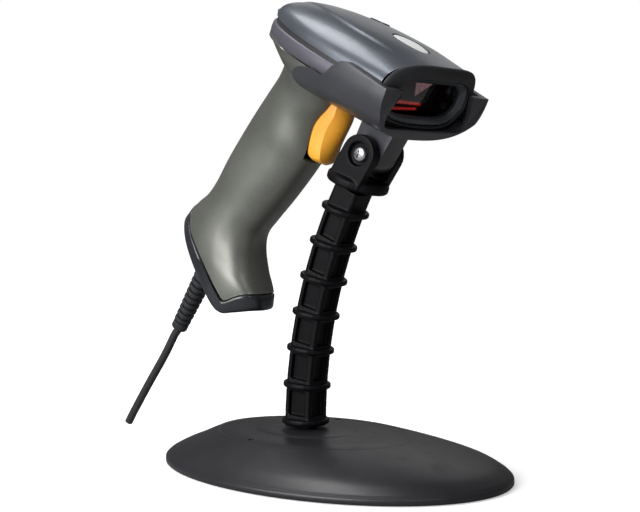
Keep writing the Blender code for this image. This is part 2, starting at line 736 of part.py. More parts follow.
def build_band(look, parent):
    """Trim strip that wraps the rear of the head between body and cover."""
    stations = [-6.0] + [y for y in head_stations() if y > 5.0]
    edges = ((0.0, BAND_BOTTOM), (0.0, BAND_TOP), (2.6, BAND_TOP), (2.6, BAND_BOTTOM))
    sections = []
    for side in (1, -1):
        for y in stations[::side]:
            shrunk = [min(y, y * (HEAD_REAR - inset) / HEAD_REAR) for inset, _ in edges]
            sections.append([(side * head_half_width(s, inset), s, z + seam_rise(y))
                             for s, (inset, z) in zip(shrunk, edges)])
    return new_object("side_band", loft(sections), look["band"], parent)


def bumper_ring(width, low, high, y_middle, bow, power, steps=32):
    """One contour of the nose bumper: an arch above and a flatter floor below."""
    ring = []
    for k in range(steps):
        a = 2 * pi * k / steps
        rise = (high - NOSE_MIDDLE) if sin(a) > 0 else (NOSE_MIDDLE - low)
        x, z = superellipse(a, width, rise, power if sin(a) > 0 else 3.4)
        z += NOSE_MIDDLE
        ring.append((x, y_middle + bow * (x / HEAD_HALF_WIDTH) ** 2 + raked(z), z))
    return ring


def build_bumper(look, parent):
    """Rubber nose ring round the scan window."""
    back = HEAD_FRONT - GAP - 0.2
    rings = [
        bumper_ring(37.6, 21.6, 53.2, back, NOSE_BOW, 3.1),
        bumper_ring(37.6, 21.6, 53.3, back - 1.2, NOSE_BOW + 0.6, 3.1),
        bumper_ring(36.2, 22.5, 52.0, back - 2.9, NOSE_BOW + 1.2, 3.1),
        bumper_ring(30.0, 23.0, 47.0, back - 2.6, NOSE_BOW + 1.6, 3.2),
        bumper_ring(28.2, 24.0, 45.6, back - 0.4, NOSE_BOW, 3.6),
        bumper_ring(26.0, 25.2, 44.0, back + 4.4, 4.0, 3.6),
        bumper_ring(26.0, 25.2, 44.0, back + 6.6, 2.0, 3.6),
        bumper_ring(30.5, 23.6, 46.4, back + 6.6, 2.0, 3.6),
        bumper_ring(32.0, 23.0, 48.0, back + 2.6, 4.0, 3.2),
    ]
    return new_object("nose_bumper", loft(rings, closed=True), look["rubber"], parent)


def build_window(look, parent):
    outline = rounded_rectangle(28.4, 10.6, 6.0, (0.0, 34.6))
    back = HEAD_FRONT + 11.4
    return new_object("scan_window", prism_y(outline, back, back + 1.5), look["window"], parent)


def cap_face(offset=0.0):
    """Side view of the end cap's sloping face, toe to heel, moved up by the offset."""
    face = [(15.0, -99.5), (28.0, -100.6), (37.0, -105.3), (46.0, -109.2), (62.0, -99.8),
            (80.0, -88.0), (93.0, -78.4), (110.0, -64.4)]
    return [(y, z + offset) for y, z in face]


def build_end_cap(look, parent):
    cap = new_object("end_cap", handle_loft(-0.4, first=6), look["cap"], parent)
    keep(cap, prism_x(seam_line(GAP) + cap_face(), 30.0))
    hollow = new_object("end_cap_hollow", handle_loft(WALL, first=6), None, parent)
    above_floor = cap_face(3.0) + [(110.0, -20.0), (15.0, -20.0)]
    keep(hollow, prism_x(above_floor, 30.0))
    combine(cap, hollow, "DIFFERENCE")
    start = Vector(RELIEF_START) - relief_axis() * 12.0
    cut(cap, cylinder(6.1, start, relief_axis(), 30.0, 24))
    return cap


# ---------------------------------------------------------------- scanner: trigger
def trigger_outline():
    """Side view of the trigger: hollowed finger face in front, rounded heel behind."""
    face = [(22.6, 15.5), (20.8, 9.0), (21.6, 2.0), (22.6, -5.0), (22.2, -10.0), (20.6, -15.6)]
    heel = [(23.2, -17.2), (29.5, -15.2), (33.0, -10.0), (34.0, -2.0), (39.4, 8.0), (39.4, 15.5)]
    return rounded(face + heel, 2.0, 3)


def build_trigger(look, parent):
    solid = prism_x(trigger_outline(), TRIGGER_HALF_WIDTH)
    trigger = new_object("trigger", solid, look["trigger"], parent, TRIGGER_AXIS)
    pin_y, pin_z = TRIGGER_AXIS[1:]
    cut(trigger, cylinder(1.25 + GAP, (-20, pin_y, pin_z), (1, 0, 0), 40.0, 16), parent)
    add(trigger, cylinder(1.8, (0, 31.0, -6.0), (0, 1, 0), TRIGGER_POST_END - 31.0, 12), parent)
    pin = cylinder(1.05, (-10.8, pin_y, pin_z), (1, 0, 0), 21.6, 14)
    new_object("trigger_pin", pin, look["steel"], parent)
    spring = coil((0, 39.4, 3.2), (0, 1, 0), 9.6, 2.0, 0.35, 5, 8, 5)
    new_object("trigger_spring", spring, look["steel"], parent)


# ---------------------------------------------------------------- scanner: electronics in the handle
def board_frame():
    """Origin, direction down the board and direction out of its front face, in (y, z)."""
    down = Vector(relief_axis()[1:])
    return Vector(BOARD_TOP), down, Vector((down.y, -down.x))


def on_board(half_width, along0, along1, out0, out1, x=0.0):
    """Block standing on the board: along it from its top, out from its front face."""
    top, down, out = board_frame()
    corners = [(along0, out0), (along1, out0), (along1, out1), (along0, out1)]
    outline = [tuple(top + down * a + out * o) for a, o in corners]
    return slab_x(outline, x - half_width, x + half_width)


def build_electronics(look, parent):
    new_object("main_board", on_board(11.0, 0.0, BOARD_LENGTH, -1.6, 0.0), look["board"], parent)
    parts = [
        ("trigger_switch", (3.0, 18.0, 24.0, GAP, 4.6, 0.0), "component"),
        ("decoder_chip", (5.0, 36.0, 46.0, GAP, 1.9, 0.0), "component"),
        ("interface_chip", (3.0, 50.0, 58.0, GAP, 1.9, 3.0), "component"),
        ("cable_jack", (6.8, 60.0, 76.0, JACK_OUT - 5.6, JACK_OUT + 5.6, 0.0), "component"),
    ]
    for name, place, surface in parts:
        new_object(name, on_board(*place), look[surface], parent)
    jack = bpy.data.objects["cable_jack"]
    cut(jack, on_board(5.6, 63.0, 80.0, JACK_OUT - 4.5, JACK_OUT + 4.5))
    switch = bpy.data.objects["trigger_switch"]
    top, down, out = board_frame()
    well = top + down * 21.0 + out * 2.0
    cut(switch, cylinder(1.5, (0, well.x, well.y), (0, out.x, out.y), 5.0, 14))
    seat = top + down * 30.0 + out * GAP
    beeper = cylinder(4.5, (-5.5, seat.x, seat.y), (0, out.x, out.y), 4.0, 24)
    new_object("beeper", beeper, look["component"], parent)


def build_plunger(look, parent):
    top, down, out = board_frame()
    base = top + down * 21.0 + out * 3.3
    tip = cylinder(1.1, (0, base.x, base.y), (0, out.x, out.y), 2.9, 14)
    new_object("switch_plunger", tip, look["band"], parent, (0, base.x, base.y))


# ---------------------------------------------------------------- scanner: laser engine
def build_engine(look, parent):
    chassis = new_object("engine_chassis", box(-21.0, 21.0, -6.0, 34.0, 24.6, 27.0), look["steel"], parent)
    add(chassis, box(-21.0, -18.5, -6.0, 34.0, 26.0, 36.0))
    add(chassis, box(8.0, 19.0, 18.0, 32.0, 26.5, 33.0))
    cut(chassis, cylinder(3.4, (13.5, 33.5, 31.2), (0, -1, 0), 20.0, 20))
    for y in (-2.0, 30.0):
        cut(chassis, cylinder(1.3, (-12.0, y, 23.0), (0, 0, 1), 6.0, 12))
    laser = lathe([(3.1, 0.0), (3.1, 11.5), (1.6, 13.0)], (13.5, 32.5, 31.2), (0, -1, 0), 20)
    new_object("laser_module", laser, look["brass"], parent)
    sensor = box(-6.0, 2.0, 29.0, 31.5, 27.3, 36.0)
    new_object("photo_sensor", sensor, look["component"], parent)
    collector = loft([[(x, 24.0 + 0.03 * (x + 8) ** 2 + t, z) for x in (-17, -12, -7, -2, 3)]
                      + [(x, 24.0 + 0.03 * (x + 8) ** 2 + t, z + 12.0) for x in (3, -2, -7, -12, -17)]
                      for t, z in ((0.0, 27.3), (1.4, 27.3))])
    new_object("collector_mirror", collector, look["mirror"], parent)
    for number, y in enumerate((-2.0, 30.0), start=1):
        screw = lathe([(2.0, 0.0), (2.0, 1.2), (1.0, 1.2), (1.0, 4.4)], (-12.0, y, 28.5), (0, 0, -1), 14)
        new_object(f"engine_screw_{number}", screw, look["steel"], parent)


def build_scan_mirror(look, parent):
    x, y, z = MIRROR_AXIS
    mirror = new_object("scan_mirror", box(x - 4.0, x + 4.0, y - 2.6, y - 1.6, z - 3.0, z + 8.0),
                        look["mirror"], parent, MIRROR_AXIS)
    add(mirror, cylinder(1.9, (x, y, z - 3.0), (0, 0, 1), 11.0, 16), parent)
    cut(mirror, cylinder(0.9, (x, y, z - 5.0), (0, 0, 1), 20.0, 14), parent)
    new_object("mirror_pivot", cylinder(0.6, (x, y, 27.3), (0, 0, 1), 13.5, 12), look["steel"], parent)
    winding = tube_ring(2.2, 4.6, (x, y + 3.4, z + 1.5), (0, 1, 0), 3.6, 24)
    new_object("drive_coil", winding, look["copper"], parent)


# ---------------------------------------------------------------- scanner: cable
def relief_axis():
    return (Vector(RELIEF_END) - Vector(RELIEF_START)).normalized()


def build_strain_relief(look, parent):
    length = (Vector(RELIEF_END) - Vector(RELIEF_START)).length
    ribs = 11
    profile = [(5.4, 0.0), (5.4, 7.0)]
    pitch = (length - 12.0) / ribs
    for k in range(ribs):
        radius = RELIEF_RADIUS - 1.2 * k / ribs
        s = 7.4 + k * pitch
        groove = max(radius - 1.3, CABLE_RADIUS + 0.8)
        profile += [(groove, s), (groove, s + 0.34 * pitch),
                    (radius, s + 0.42 * pitch), (radius, s + 0.92 * pitch)]
    profile += [(3.6, length - 4.6), (4.4, length - 4.0), (4.4, length - 0.6), (3.8, length)]
    relief = lathe(profile, RELIEF_START, relief_axis(), 12)
    relief = new_object("strain_relief", relief, look["rubber"], parent)
    bore_start = Vector(RELIEF_START) - relief_axis()
    cut(relief, cylinder(CABLE_RADIUS + GAP + 0.1, bore_start, relief_axis(), length + 4.0, 12))


def build_plug(look, parent):
    plug = new_object("cable_plug", on_board(5.2, 66.0, 81.0, JACK_OUT - 3.8, JACK_OUT + 3.8),
                      look["lens"], parent)
    top, down, out = board_frame()
    seat = top + down * 78.0 + out * JACK_OUT
    cut(plug, cylinder(CABLE_RADIUS + GAP + 0.1, (0, seat.x, seat.y), (0, down.x, down.y), 10.0, 14))


def cable_path():
    """From the plug, down the strain relief, then a slack curve towards the table (head frame)."""
    axis = relief_axis()
    start, end = Vector(RELIEF_START), Vector(RELIEF_END)
    top, down, out = board_frame()
    seat = top + down * 78.6 + out * JACK_OUT
    first = [Vector((0, seat.x, seat.y)), start, start.lerp(end, 0.5), end]
    turn = Matrix.Rotation(radians(-TILT), 3, "X")
    pivot = Vector((0, PIVOT_Y, PIVOT_Z))
    slack = [(0, 108.6, 59.3), (0, 116.4, 47.3), (0, 128.2, 31.3), (0, 139.6, 15.3), (0, 145.0, 7.3)]
    return smooth_path(first + [turn @ (Vector(p) - pivot) for p in slack], 4)


def build_cable(look, parent):
    new_object("cable", swept_tube(cable_path(), CABLE_RADIUS, 12), look["rubber"], parent)


# ---------------------------------------------------------------- cradle
def cradle_half_width(y):
    """Outer half width of the cradle, drawn in with the head towards the rear."""
    narrowing = HEAD_HALF_WIDTH - head_half_width(y)
    return CRADLE_HALF_WIDTH - 0.9 * narrowing - 0.04 * max(0.0, y)


def cradle_side():
    """Side view of the cradle: lip, top edge, rounded corner, notch and rear finger."""
    outline = [(CRADLE_FRONT - 6.0, 10.0), (CRADLE_FRONT - 6.0, 39.8), (-20.2, 40.6), (-6.0, 42.2),
               (2.0, 42.8), (5.6, 41.8), (9.6, 37.9), (12.0, 34.0), (14.6, 31.9), (18.0, 31.5),
               (23.3, 31.9), (29.1, 30.5), (33.4, 27.8), (35.6, 24.0), (35.4, 19.0), (32.0, 10.0)]
    return outline


def cradle_raked(ring):
    """The front flange runs back towards its foot."""
    slope = CRADLE_RAKE / (CRADLE_RAKE_TOP - CRADLE_BOTTOM)
    return [(x, y + slope * max(0.0, CRADLE_RAKE_TOP - z), z) for x, y, z in ring]


def cradle_outer():
    rings = []
    for y in (CRADLE_FRONT, -14.0, -4.0, 6.0, 16.0, 26.0, 34.0, 40.0):
        width = cradle_half_width(y)
        ring = tray_ring(y, width, 50.0, CRADLE_BOTTOM, bow=False, corner=24.2, power=2.7, steps=20)
        rings.append(cradle_raked(ring) if y == CRADLE_FRONT else ring)
    return loft(rings, ladder=True)


def lip_opening():
    """Mouth of the front flange: wide at the floor's corners, closing in towards the top."""
    half = [(29.2, 60.0), (29.2, 40.0), (32.0, 33.0), (34.0, 27.0), (33.0, 23.0), (28.0, 21.2)]
    outline = half + [(-x, z) for x, z in reversed(half)]
    return prism_y(rounded(outline, 2.0, 3), CRADLE_FRONT - 5.0, CRADLE_FRONT + 12.0)


def build_cradle(look, parent):
    cradle = new_object("cradle", cradle_outer(), look["cradle"], parent)
    keep(cradle, prism_x(rounded(cradle_side(), 1.5, 3), 60.0))
    stations = (CRADLE_FRONT + FLANGE_WALL, -4.0, 6.0, 16.0, 26.0, 34.0, 44.0)
    rings = [tray_ring(y, head_half_width(y) + 0.6, 60.0, HEAD_BOTTOM - 0.4, bow=False) for y in stations]
    cut(cradle, loft([cradle_raked(rings[0])] + rings[1:], ladder=True))
    cut(cradle, lip_opening())
    notch = [(-24.0, 50.0), (-24.0, 26.0), (-18.0, 18.5), (18.0, 18.5), (24.0, 26.0), (24.0, 50.0)]
    cut(cradle, prism_z(rounded(notch, 5.0, 5), 5.0, 28.0))
    add(cradle, cradle_tongue(CRADLE_BOTTOM + 2.6))
    cut(cradle, cylinder(SCREW_RADIUS + 0.3, (-12, 0, 0), (1, 0, 0), 24.0, 20))
    return cradle


def cradle_tongue(top):
    """Round-ended tongue that hangs from the cradle's floor between the yoke's ears."""
    outline = arc((0.0, 0.0), EAR_RADIUS - 0.4, 180.0, 360.0, 15)
    outline += [(EAR_RADIUS - 1.0, 14.0), (EAR_RADIUS - 1.0, top), (-EAR_RADIUS - 4.5, top),
                (-EAR_RADIUS - 2.0, 14.0)]
    return prism_x(outline, TONGUE_HALF)


# ---------------------------------------------------------------- main
def build_stand(look):
    build_base(look)
    build_ballast(look)
    build_feet(look)
    build_neck(look)
    build_neck_fastener(look)
    build_yoke(look)
    build_tilt_screw(look)


def build_scanner(look, head):
    body = build_body(look, head)
    build_trigger_web(body)
    build_cover(look, head)
    build_badge(look, head)
    build_lens(look, head)
    build_band(look, head)
    build_bumper(look, head)
    build_window(look, head)
    build_end_cap(look, head)
    build_trigger(look, head)
    build_electronics(look, head)
    build_plunger(look, head)
    build_engine(look, head)
    build_scan_mirror(look, head)
    build_strain_relief(look, head)
    build_plug(look, head)
    build_cable(look, head)


def main():
    clear_scene()
    look = looks()
    build_stand(look)
    head = new_empty("head_frame", (0.0, PIVOT_Y, PIVOT_Z), TILT)
    build_cradle(look, head)
    build_scanner(look, head)


main()
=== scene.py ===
"""Looks of a handheld barcode scanner in its hands-free stand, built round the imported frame.

The frame is in metres with +Z up.  Shapes are worked out in millimetres, either in the world frame or in
the head frame, whose origin is the tilt screw's axis: x to the right, y back along the head and z square
to it.  mesh_from turns them into metres.
"""

import json
from math import copysign, cos, pi, radians, sin

import bmesh
import bpy
import numpy as np
from mathutils import Matrix, Vector


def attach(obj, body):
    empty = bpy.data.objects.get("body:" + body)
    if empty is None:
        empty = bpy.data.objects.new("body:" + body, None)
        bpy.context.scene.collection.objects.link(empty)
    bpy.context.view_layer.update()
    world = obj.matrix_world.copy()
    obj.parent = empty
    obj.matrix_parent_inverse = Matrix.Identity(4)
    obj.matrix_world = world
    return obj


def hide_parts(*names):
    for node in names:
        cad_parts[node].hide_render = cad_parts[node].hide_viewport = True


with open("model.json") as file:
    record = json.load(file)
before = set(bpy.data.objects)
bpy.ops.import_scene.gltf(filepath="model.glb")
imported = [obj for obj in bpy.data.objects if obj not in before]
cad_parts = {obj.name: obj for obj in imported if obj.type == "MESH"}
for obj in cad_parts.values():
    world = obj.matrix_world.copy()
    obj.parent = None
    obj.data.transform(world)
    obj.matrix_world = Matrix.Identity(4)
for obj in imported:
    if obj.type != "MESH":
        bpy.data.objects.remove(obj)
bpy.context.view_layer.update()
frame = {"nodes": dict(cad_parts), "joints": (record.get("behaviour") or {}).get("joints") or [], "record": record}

MM = 0.001
NODES = frame["nodes"]
JOINTS = {joint["name"]: joint for joint in frame["joints"]}

PIVOT = Vector(JOINTS["cradle_tilt"]["pos_m"])
HEAD_UP = Vector(JOINTS["scanner_lift"]["axis"])
HEAD_BACK = HEAD_UP.cross(Vector((1.0, 0.0, 0.0)))
HEAD = Matrix.Translation(PIVOT) @ Matrix((
    (1.0, 0.0, 0.0), tuple(HEAD_BACK), tuple(HEAD_UP))).transposed().to_4x4() @ Matrix.Scale(MM, 4)
WORLD = Matrix.Scale(MM, 4)


def box_in(node, matrix):
    """Lowest and highest corner of a CAD node in the frame that matrix turns into the world."""
    back = matrix.inverted()
    spots = np.array([back @ v.co for v in NODES[node].data.vertices])
    return Vector(spots.min(0)), Vector(spots.max(0))


# ---------------------------------------------------------------- dimensions from the frame (mm)
BASE_LOW, BASE_HIGH = box_in("base_shell", WORLD)
COVER_LOW, COVER_HIGH = box_in("top_cover", HEAD)
BAND_LOW, BAND_HIGH = box_in("side_band", HEAD)
BADGE_LOW, BADGE_HIGH = box_in("badge", HEAD)
LENS_LOW = box_in("indicator_lens", HEAD)[0]
SCREW_LOW = box_in("tilt_screw", WORLD)[0]
CRADLE_LOW, CRADLE_HIGH = box_in("cradle", HEAD)
TRIGGER_HIGH = box_in("trigger", HEAD)[1]

HEAD_WIDTH = BAND_HIGH.x                 # half width of the head
HEAD_REAR = BAND_HIGH.y
HEAD_FRONT = COVER_LOW.y
BAND_BOTTOM = BAND_LOW.z                 # at the front; the seams climb from there
BAND_TALL = 7.1
COVER_BOTTOM = COVER_LOW.z
SEAM_RISE, SEAM_RISE_START = 0.042, 12.0
SEAM_GAP_GROWTH = 0.02                   # the groove under the cover opens towards the rear
COVER_INSET, LIP_DEPTH, LIP_DROP = 0.6, 2.2, 3.2
CROWN, CROWN_Y, CROWN_FALL = COVER_HIGH.z, 25.0, 0.0015
FACET_LIFT = 0.75                        # how far the facet stands above the cover's arch
NOSE_BOW, NOSE_RAKE, NOSE_MIDDLE, NOSE_REACH = 6.5, 5.0, 33.6, 24.0
HEAD_BOTTOM, HEAD_MIDDLE, ABOVE_HEAD = 20.4, 25.0, 70.0
STERN_START, STERN_RISE = 44.0, 12.5
TUCK_DEPTH, TUCK_MIDDLE = 10.0, 40.0     # how far the rear is drawn in under the band, and towards where
TRAY_TOP, TRAY_CORNER = BAND_BOTTOM - 0.3, 11.0
WALL, COVER_WALL, CAP_WALL, BASE_WALL = 2.2, 1.6, 1.8, 2.5
CAP_PROUD, CAP_GAP = 0.45, 0.75          # the cap stands proud of the handle, and leaves a groove above it
LENS_SPOT, LENS_HALF, LENS_TURN = (19.0, 37.5), (4.0, 9.0), 20.0
BADGE_MIDDLE, BADGE_HALF = (BADGE_LOW + BADGE_HIGH) / 2, (BADGE_HIGH - BADGE_LOW) / 2
CRADLE_WIDTH, CRADLE_FRONT = CRADLE_HIGH.x, CRADLE_LOW.y
CRADLE_BOTTOM, CRADLE_WALL, CRADLE_RAKE, CRADLE_RAKE_TOP = 15.8, 2.6, 3.5, 27.0
TONGUE_RADIUS, TONGUE_HALF, TONGUE_HOLE = 8.9, 6.9, 2.3
BASE_MIDDLE_Y = 17.3                     # the neck stands here
RECESS_SPOT, RECESS_RADIUS = (34.9, 23.3, 16.4), 1.7
POST_START, POST_RADIUS = Vector((0.0, 31.0, -6.0)), 1.8
RELIEF_START, RELIEF_END = Vector((0.0, 71.4, -88.0)), Vector((0.0, 78.5, -138.3))
RELIEF_RADIUS, CABLE_RADIUS = 5.7, 2.2


# ---------------------------------------------------------------- mesh helpers
WELD_GAP = 2e-6                          # metres
VOXEL = 0.40                             # remeshing step of the softened CAD shapes


def angles(steps):
    return [2 * pi * k / steps for k in range(steps)]


def superellipse(angle, width, height, power):
    c, s = cos(angle), sin(angle)
    return (width * copysign(abs(c) ** (2.0 / power), c), height * copysign(abs(s) ** (2.0 / power), s))


def smoothstep(low, high, value):
    t = min(1.0, max(0.0, (value - low) / (high - low)))
    return t * t * (3.0 - 2.0 * t)


def curve_through(points, steps):
    """Catmull-Rom curve through points of any dimension, steps spans per pair."""
    p = np.array(points, float)
    p = np.vstack([2 * p[0] - p[1], p, 2 * p[-1] - p[-2]])
    out = []
    for i in range(1, len(p) - 2):
        for k in range(steps):
            t = k / steps
            out.append(0.5 * (2 * p[i] + (p[i + 1] - p[i - 1]) * t
                              + (2 * p[i - 1] - 5 * p[i] + 4 * p[i + 1] - p[i + 2]) * t ** 2
                              + (3 * p[i] - p[i - 1] - 3 * p[i + 1] + p[i + 2]) * t ** 3))
    out.append(p[-2])
    return np.array(out)


def new_object(name, data):
    made = bpy.data.objects.new(name, data)
    bpy.context.scene.collection.objects.link(made)
    return made


def mesh_from(name, verts, faces, matrix):
    """New mesh object from points in the matrix's frame, welded, with its normals facing out."""
    mesh = bpy.data.meshes.new(name)
    mesh.from_pydata([tuple(v) for v in verts], [], faces)
    mesh.transform(matrix)
    work = bmesh.new()
    work.from_mesh(mesh)
    bmesh.ops.remove_doubles(work, verts=work.verts, dist=WELD_GAP)
    bmesh.ops.dissolve_degenerate(work, edges=work.edges, dist=1e-6)
    bmesh.ops.recalc_face_normals(work, faces=work.faces)
    work.to_mesh(mesh)
    work.free()
    return new_object(name, mesh)


def skin(name, rows, matrix, closed=True, caps=True, loop=False):
    """Surface through rows of points; closed joins each row's ends, loop joins the last row to the first."""
    rows = [list(map(tuple, row)) for row in rows]
    width, verts, faces = len(rows[0]), [v for row in rows for v in row], []
    spans = width if closed else width - 1
    pairs = [(i, i + 1) for i in range(len(rows) - 1)] + ([(len(rows) - 1, 0)] if loop else [])
    for a, b in pairs:
        for k in range(spans):
            n = (k + 1) % width
            faces.append((a * width + k, a * width + n, b * width + n, b * width + k))
    if caps and closed and not loop:
        faces.append(tuple(range(width))[::-1])
        faces.append(tuple((len(rows) - 1) * width + k for k in range(width)))
    return mesh_from(name, verts, faces, matrix)


def smooth_shading(piece, angle):
    piece.data.shade_smooth()
    piece.data.set_sharp_from_angle(angle=radians(angle))


def apply_modifiers(piece):
    """Bake the modifiers into the mesh."""
    graph = bpy.context.evaluated_depsgraph_get()
    graph.update()
    mesh = bpy.data.meshes.new_from_object(piece.evaluated_get(graph))
    piece.modifiers.clear()
    piece.data = mesh


def thicken(piece, thickness, middle):
    """Give an open surface round the head frame's middle point a wall on its inner side; in mm."""
    centre = HEAD @ Vector(middle)
    work = bmesh.new()
    work.from_mesh(piece.data)
    outward = sum(face.normal.dot(face.calc_center_median() - centre) * face.calc_area()
                  for face in work.faces)
    if outward < 0.0:
        bmesh.ops.reverse_faces(work, faces=work.faces)
    work.to_mesh(piece.data)
    work.free()
    solid = piece.modifiers.new("wall", "SOLIDIFY")
    solid.thickness, solid.offset = thickness * MM, -1.0
    apply_modifiers(piece)


def cut(piece, cutter, operation="DIFFERENCE"):
    """Boolean with a helper object, which is then removed."""
    change = piece.modifiers.new("cut", "BOOLEAN")
    change.object, change.operation, change.solver = cutter, operation, "EXACT"
    bpy.context.view_layer.update()
    apply_modifiers(piece)
    bpy.data.objects.remove(cutter)


def weld(piece):
    piece.modifiers.new("weld", "WELD").merge_threshold = WELD_GAP


def bevel(piece, width, segments, angle):
    """Round the edges sharper than the angle; width in mm."""
    change = piece.modifiers.new("edges", "BEVEL")
    change.width, change.segments = width * MM, segments
    change.limit_method, change.angle_limit = "ANGLE", radians(angle)


def softened(name, node, passes):
    """The CAD node's own shape, remeshed finely and smoothed until its edges are moulded ones."""
    piece = new_object(name, NODES[node].data.copy())
    weld(piece)
    apply_modifiers(piece)
    remesh = piece.modifiers.new("remesh", "REMESH")
    remesh.mode, remesh.voxel_size, remesh.adaptivity = "VOXEL", VOXEL * MM, 0.0
    relax = piece.modifiers.new("relax", "SMOOTH")
    relax.factor, relax.iterations = 0.5, passes
    apply_modifiers(piece)
    piece.data.shade_smooth()
    return piece


def finish_piece(piece, slot, body, *nodes, look=None):
    """Material, slot, body and the CAD nodes the piece stands for; the look is the slot's unless named."""
    piece.data.materials.clear()
    piece.data.materials.append(LOOKS[look or slot])
    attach(piece, body)
    if nodes:
        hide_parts(*nodes)


# ---------------------------------------------------------------- materials
class Shader:
    """A Principled material and short ways to add nodes to it."""

    def __init__(self, name):
        self.material = bpy.data.materials.new(name)
        self.material.use_nodes = True
        self.tree = self.material.node_tree
        self.main = self.tree.nodes["Principled BSDF"]
        self.place = self.node("ShaderNodeTexCoord").outputs["Object"]

    def node(self, kind, **inputs):
        made = self.tree.nodes.new(kind)
        for label, value in inputs.items():
            self.plug(value, made.inputs[label.replace("_", " ")])
        return made

    def plug(self, value, socket):
        if isinstance(value, bpy.types.NodeSocket):
            self.tree.links.new(value, socket)
        else:
            socket.default_value = value

    def noise(self, scale, detail=3.0, roughness=0.5, stretch=None):
        place = self.place
        if stretch:
            place = self.node("ShaderNodeMapping", Vector=place, Scale=stretch).outputs["Vector"]
        made = self.node("ShaderNodeTexNoise", Vector=place, Scale=scale, Detail=detail, Roughness=roughness)
        return made.outputs["Fac"]

    def remap(self, value, low, high, to_low, to_high):
        made = self.node("ShaderNodeMapRange", Value=value, From_Min=low, From_Max=high, To_Min=to_low,
                         To_Max=to_high)
        return made.outputs["Result"]

    def blend(self, fac, first, second):
        made = self.tree.nodes.new("ShaderNodeMix")
        made.data_type = "RGBA"
        self.plug(fac, made.inputs[0])
        self.plug(first, made.inputs[6])
        self.plug(second, made.inputs[7])
        return made.outputs[2]

    def math(self, operation, first, second):
        made = self.tree.nodes.new("ShaderNodeMath")
        made.operation = operation
        self.plug(first, made.inputs[0])
        self.plug(second, made.inputs[1])
        return made.outputs[0]

    def vector_math(self, operation, first, second=None):
        made = self.tree.nodes.new("ShaderNodeVectorMath")
        made.operation = operation
        self.plug(first, made.inputs[0])
        if second is not None:
            self.plug(second, made.inputs[1])
        return made

    def set(self, **inputs):
        """Give inputs of the Principled node a value or a socket."""
        for label, value in inputs.items():
            self.plug(value, self.main.inputs[label.replace("_", " ")])

    def bump(self, height, strength, distance):
        normal = self.node("ShaderNodeBump", Height=height, Strength=strength, Distance=distance)
        if self.main.inputs["Normal"].is_linked:
            self.plug(self.main.inputs["Normal"].links[0].from_socket, normal.inputs["Normal"])
        self.plug(normal.outputs["Normal"], self.main.inputs["Normal"])

    def pale_edges_highlight_and_wear(self, colour, edge, amount):
        """Edges painted paler where the surface bends out sharply: a painted edge highlight, broken into patches
        like rubbed wear.
        """
        bend = self.node("ShaderNodeNewGeometry").outputs["Pointiness"]
        patch = self.remap(self.noise(160.0, 4.0), 0.35, 0.65, 0.3, 1.0)
        fac = self.math("MULTIPLY", self.remap(bend, 0.53, 0.62, 0.0, amount), patch)
        return self.blend(fac, colour, edge)


def rgb(r, g, b):
    return (r, g, b, 1.0)


def moulded(name, colour, roughness, grain=0.10, fleck=0.0, metallic=0.0, edge=0.25, tint=0.12, coat=0.0,
            shine=0.5):
    """Moulded plastic: fine spark-eroded grain, slow colour and gloss drift, and edges painted paler, partly a
    painted edge highlight and partly rubbed wear.

    Noise scales are per metre: about 45 for the drift across a part, 4200 for the fleck in the paint.
    """
    s = Shader(name)
    dark = rgb(*(c * (1.0 - tint) for c in colour))
    pale = rgb(*(min(1.0, c * (1.0 + tint)) for c in colour))
    body = s.blend(s.remap(s.noise(45.0, 4.0), 0.35, 0.65, 0.0, 1.0), dark, pale)
    if fleck:
        spark = s.remap(s.noise(4200.0, 1.0, 0.6), 0.58, 0.74, 0.0, fleck)
        body = s.blend(spark, body, rgb(*(min(1.0, c * 2.4 + 0.05) for c in colour)))
    # convex edges painted paler: a painted edge highlight, patchy like rubbed wear
    body = s.pale_edges_highlight_and_wear(body, rgb(*(min(1.0, c * 2.0 + 0.02) for c in colour)), edge)
    drift = s.remap(s.noise(28.0, 5.0), 0.3, 0.7, roughness - 0.05, roughness + 0.05)
    smudge = s.remap(s.noise(120.0, 3.0, 0.6), 0.55, 0.75, 0.0, 0.06)
    s.set(Base_Color=body, Roughness=s.math("ADD", drift, smudge), Metallic=metallic, Coat_Weight=coat,
          Coat_Roughness=0.12, Specular_IOR_Level=shine)
    s.bump(s.noise(2600.0, 2.0, 0.6), grain, 0.00006)
    s.bump(s.noise(420.0, 2.0), grain * 0.25, 0.00010)
    return s.material


def rubber(name):
    """Matte rubber with dust settled in patches."""
    s = Shader(name)
    dust = s.remap(s.noise(260.0, 5.0, 0.65), 0.52, 0.78, 0.0, 0.30)
    s.set(Base_Color=s.blend(dust, rgb(0.017, 0.018, 0.021), rgb(0.045, 0.044, 0.042)),
          Roughness=s.remap(s.noise(60.0, 4.0), 0.3, 0.7, 0.54, 0.68))
    s.bump(s.noise(1700.0, 3.0, 0.6), 0.16, 0.00008)
    return s.material


def metal(name, colour, roughness, stretch=(1.0, 1.0, 14.0), stain=0.2):
    """Plated or rolled metal: fine directional lines, faint tarnish, uneven polish."""
    s = Shader(name)
    patch = s.remap(s.noise(110.0, 5.0, 0.6), 0.45, 0.75, 0.0, stain)
    lines = s.noise(900.0, 3.0, 0.5, stretch)
    s.set(Base_Color=s.blend(patch, rgb(*colour), rgb(*(c * 0.45 for c in colour))), Metallic=1.0,
          Roughness=s.remap(lines, 0.3, 0.7, roughness - 0.06, roughness + 0.10))
    s.bump(lines, 0.05, 0.00004)
    return s.material


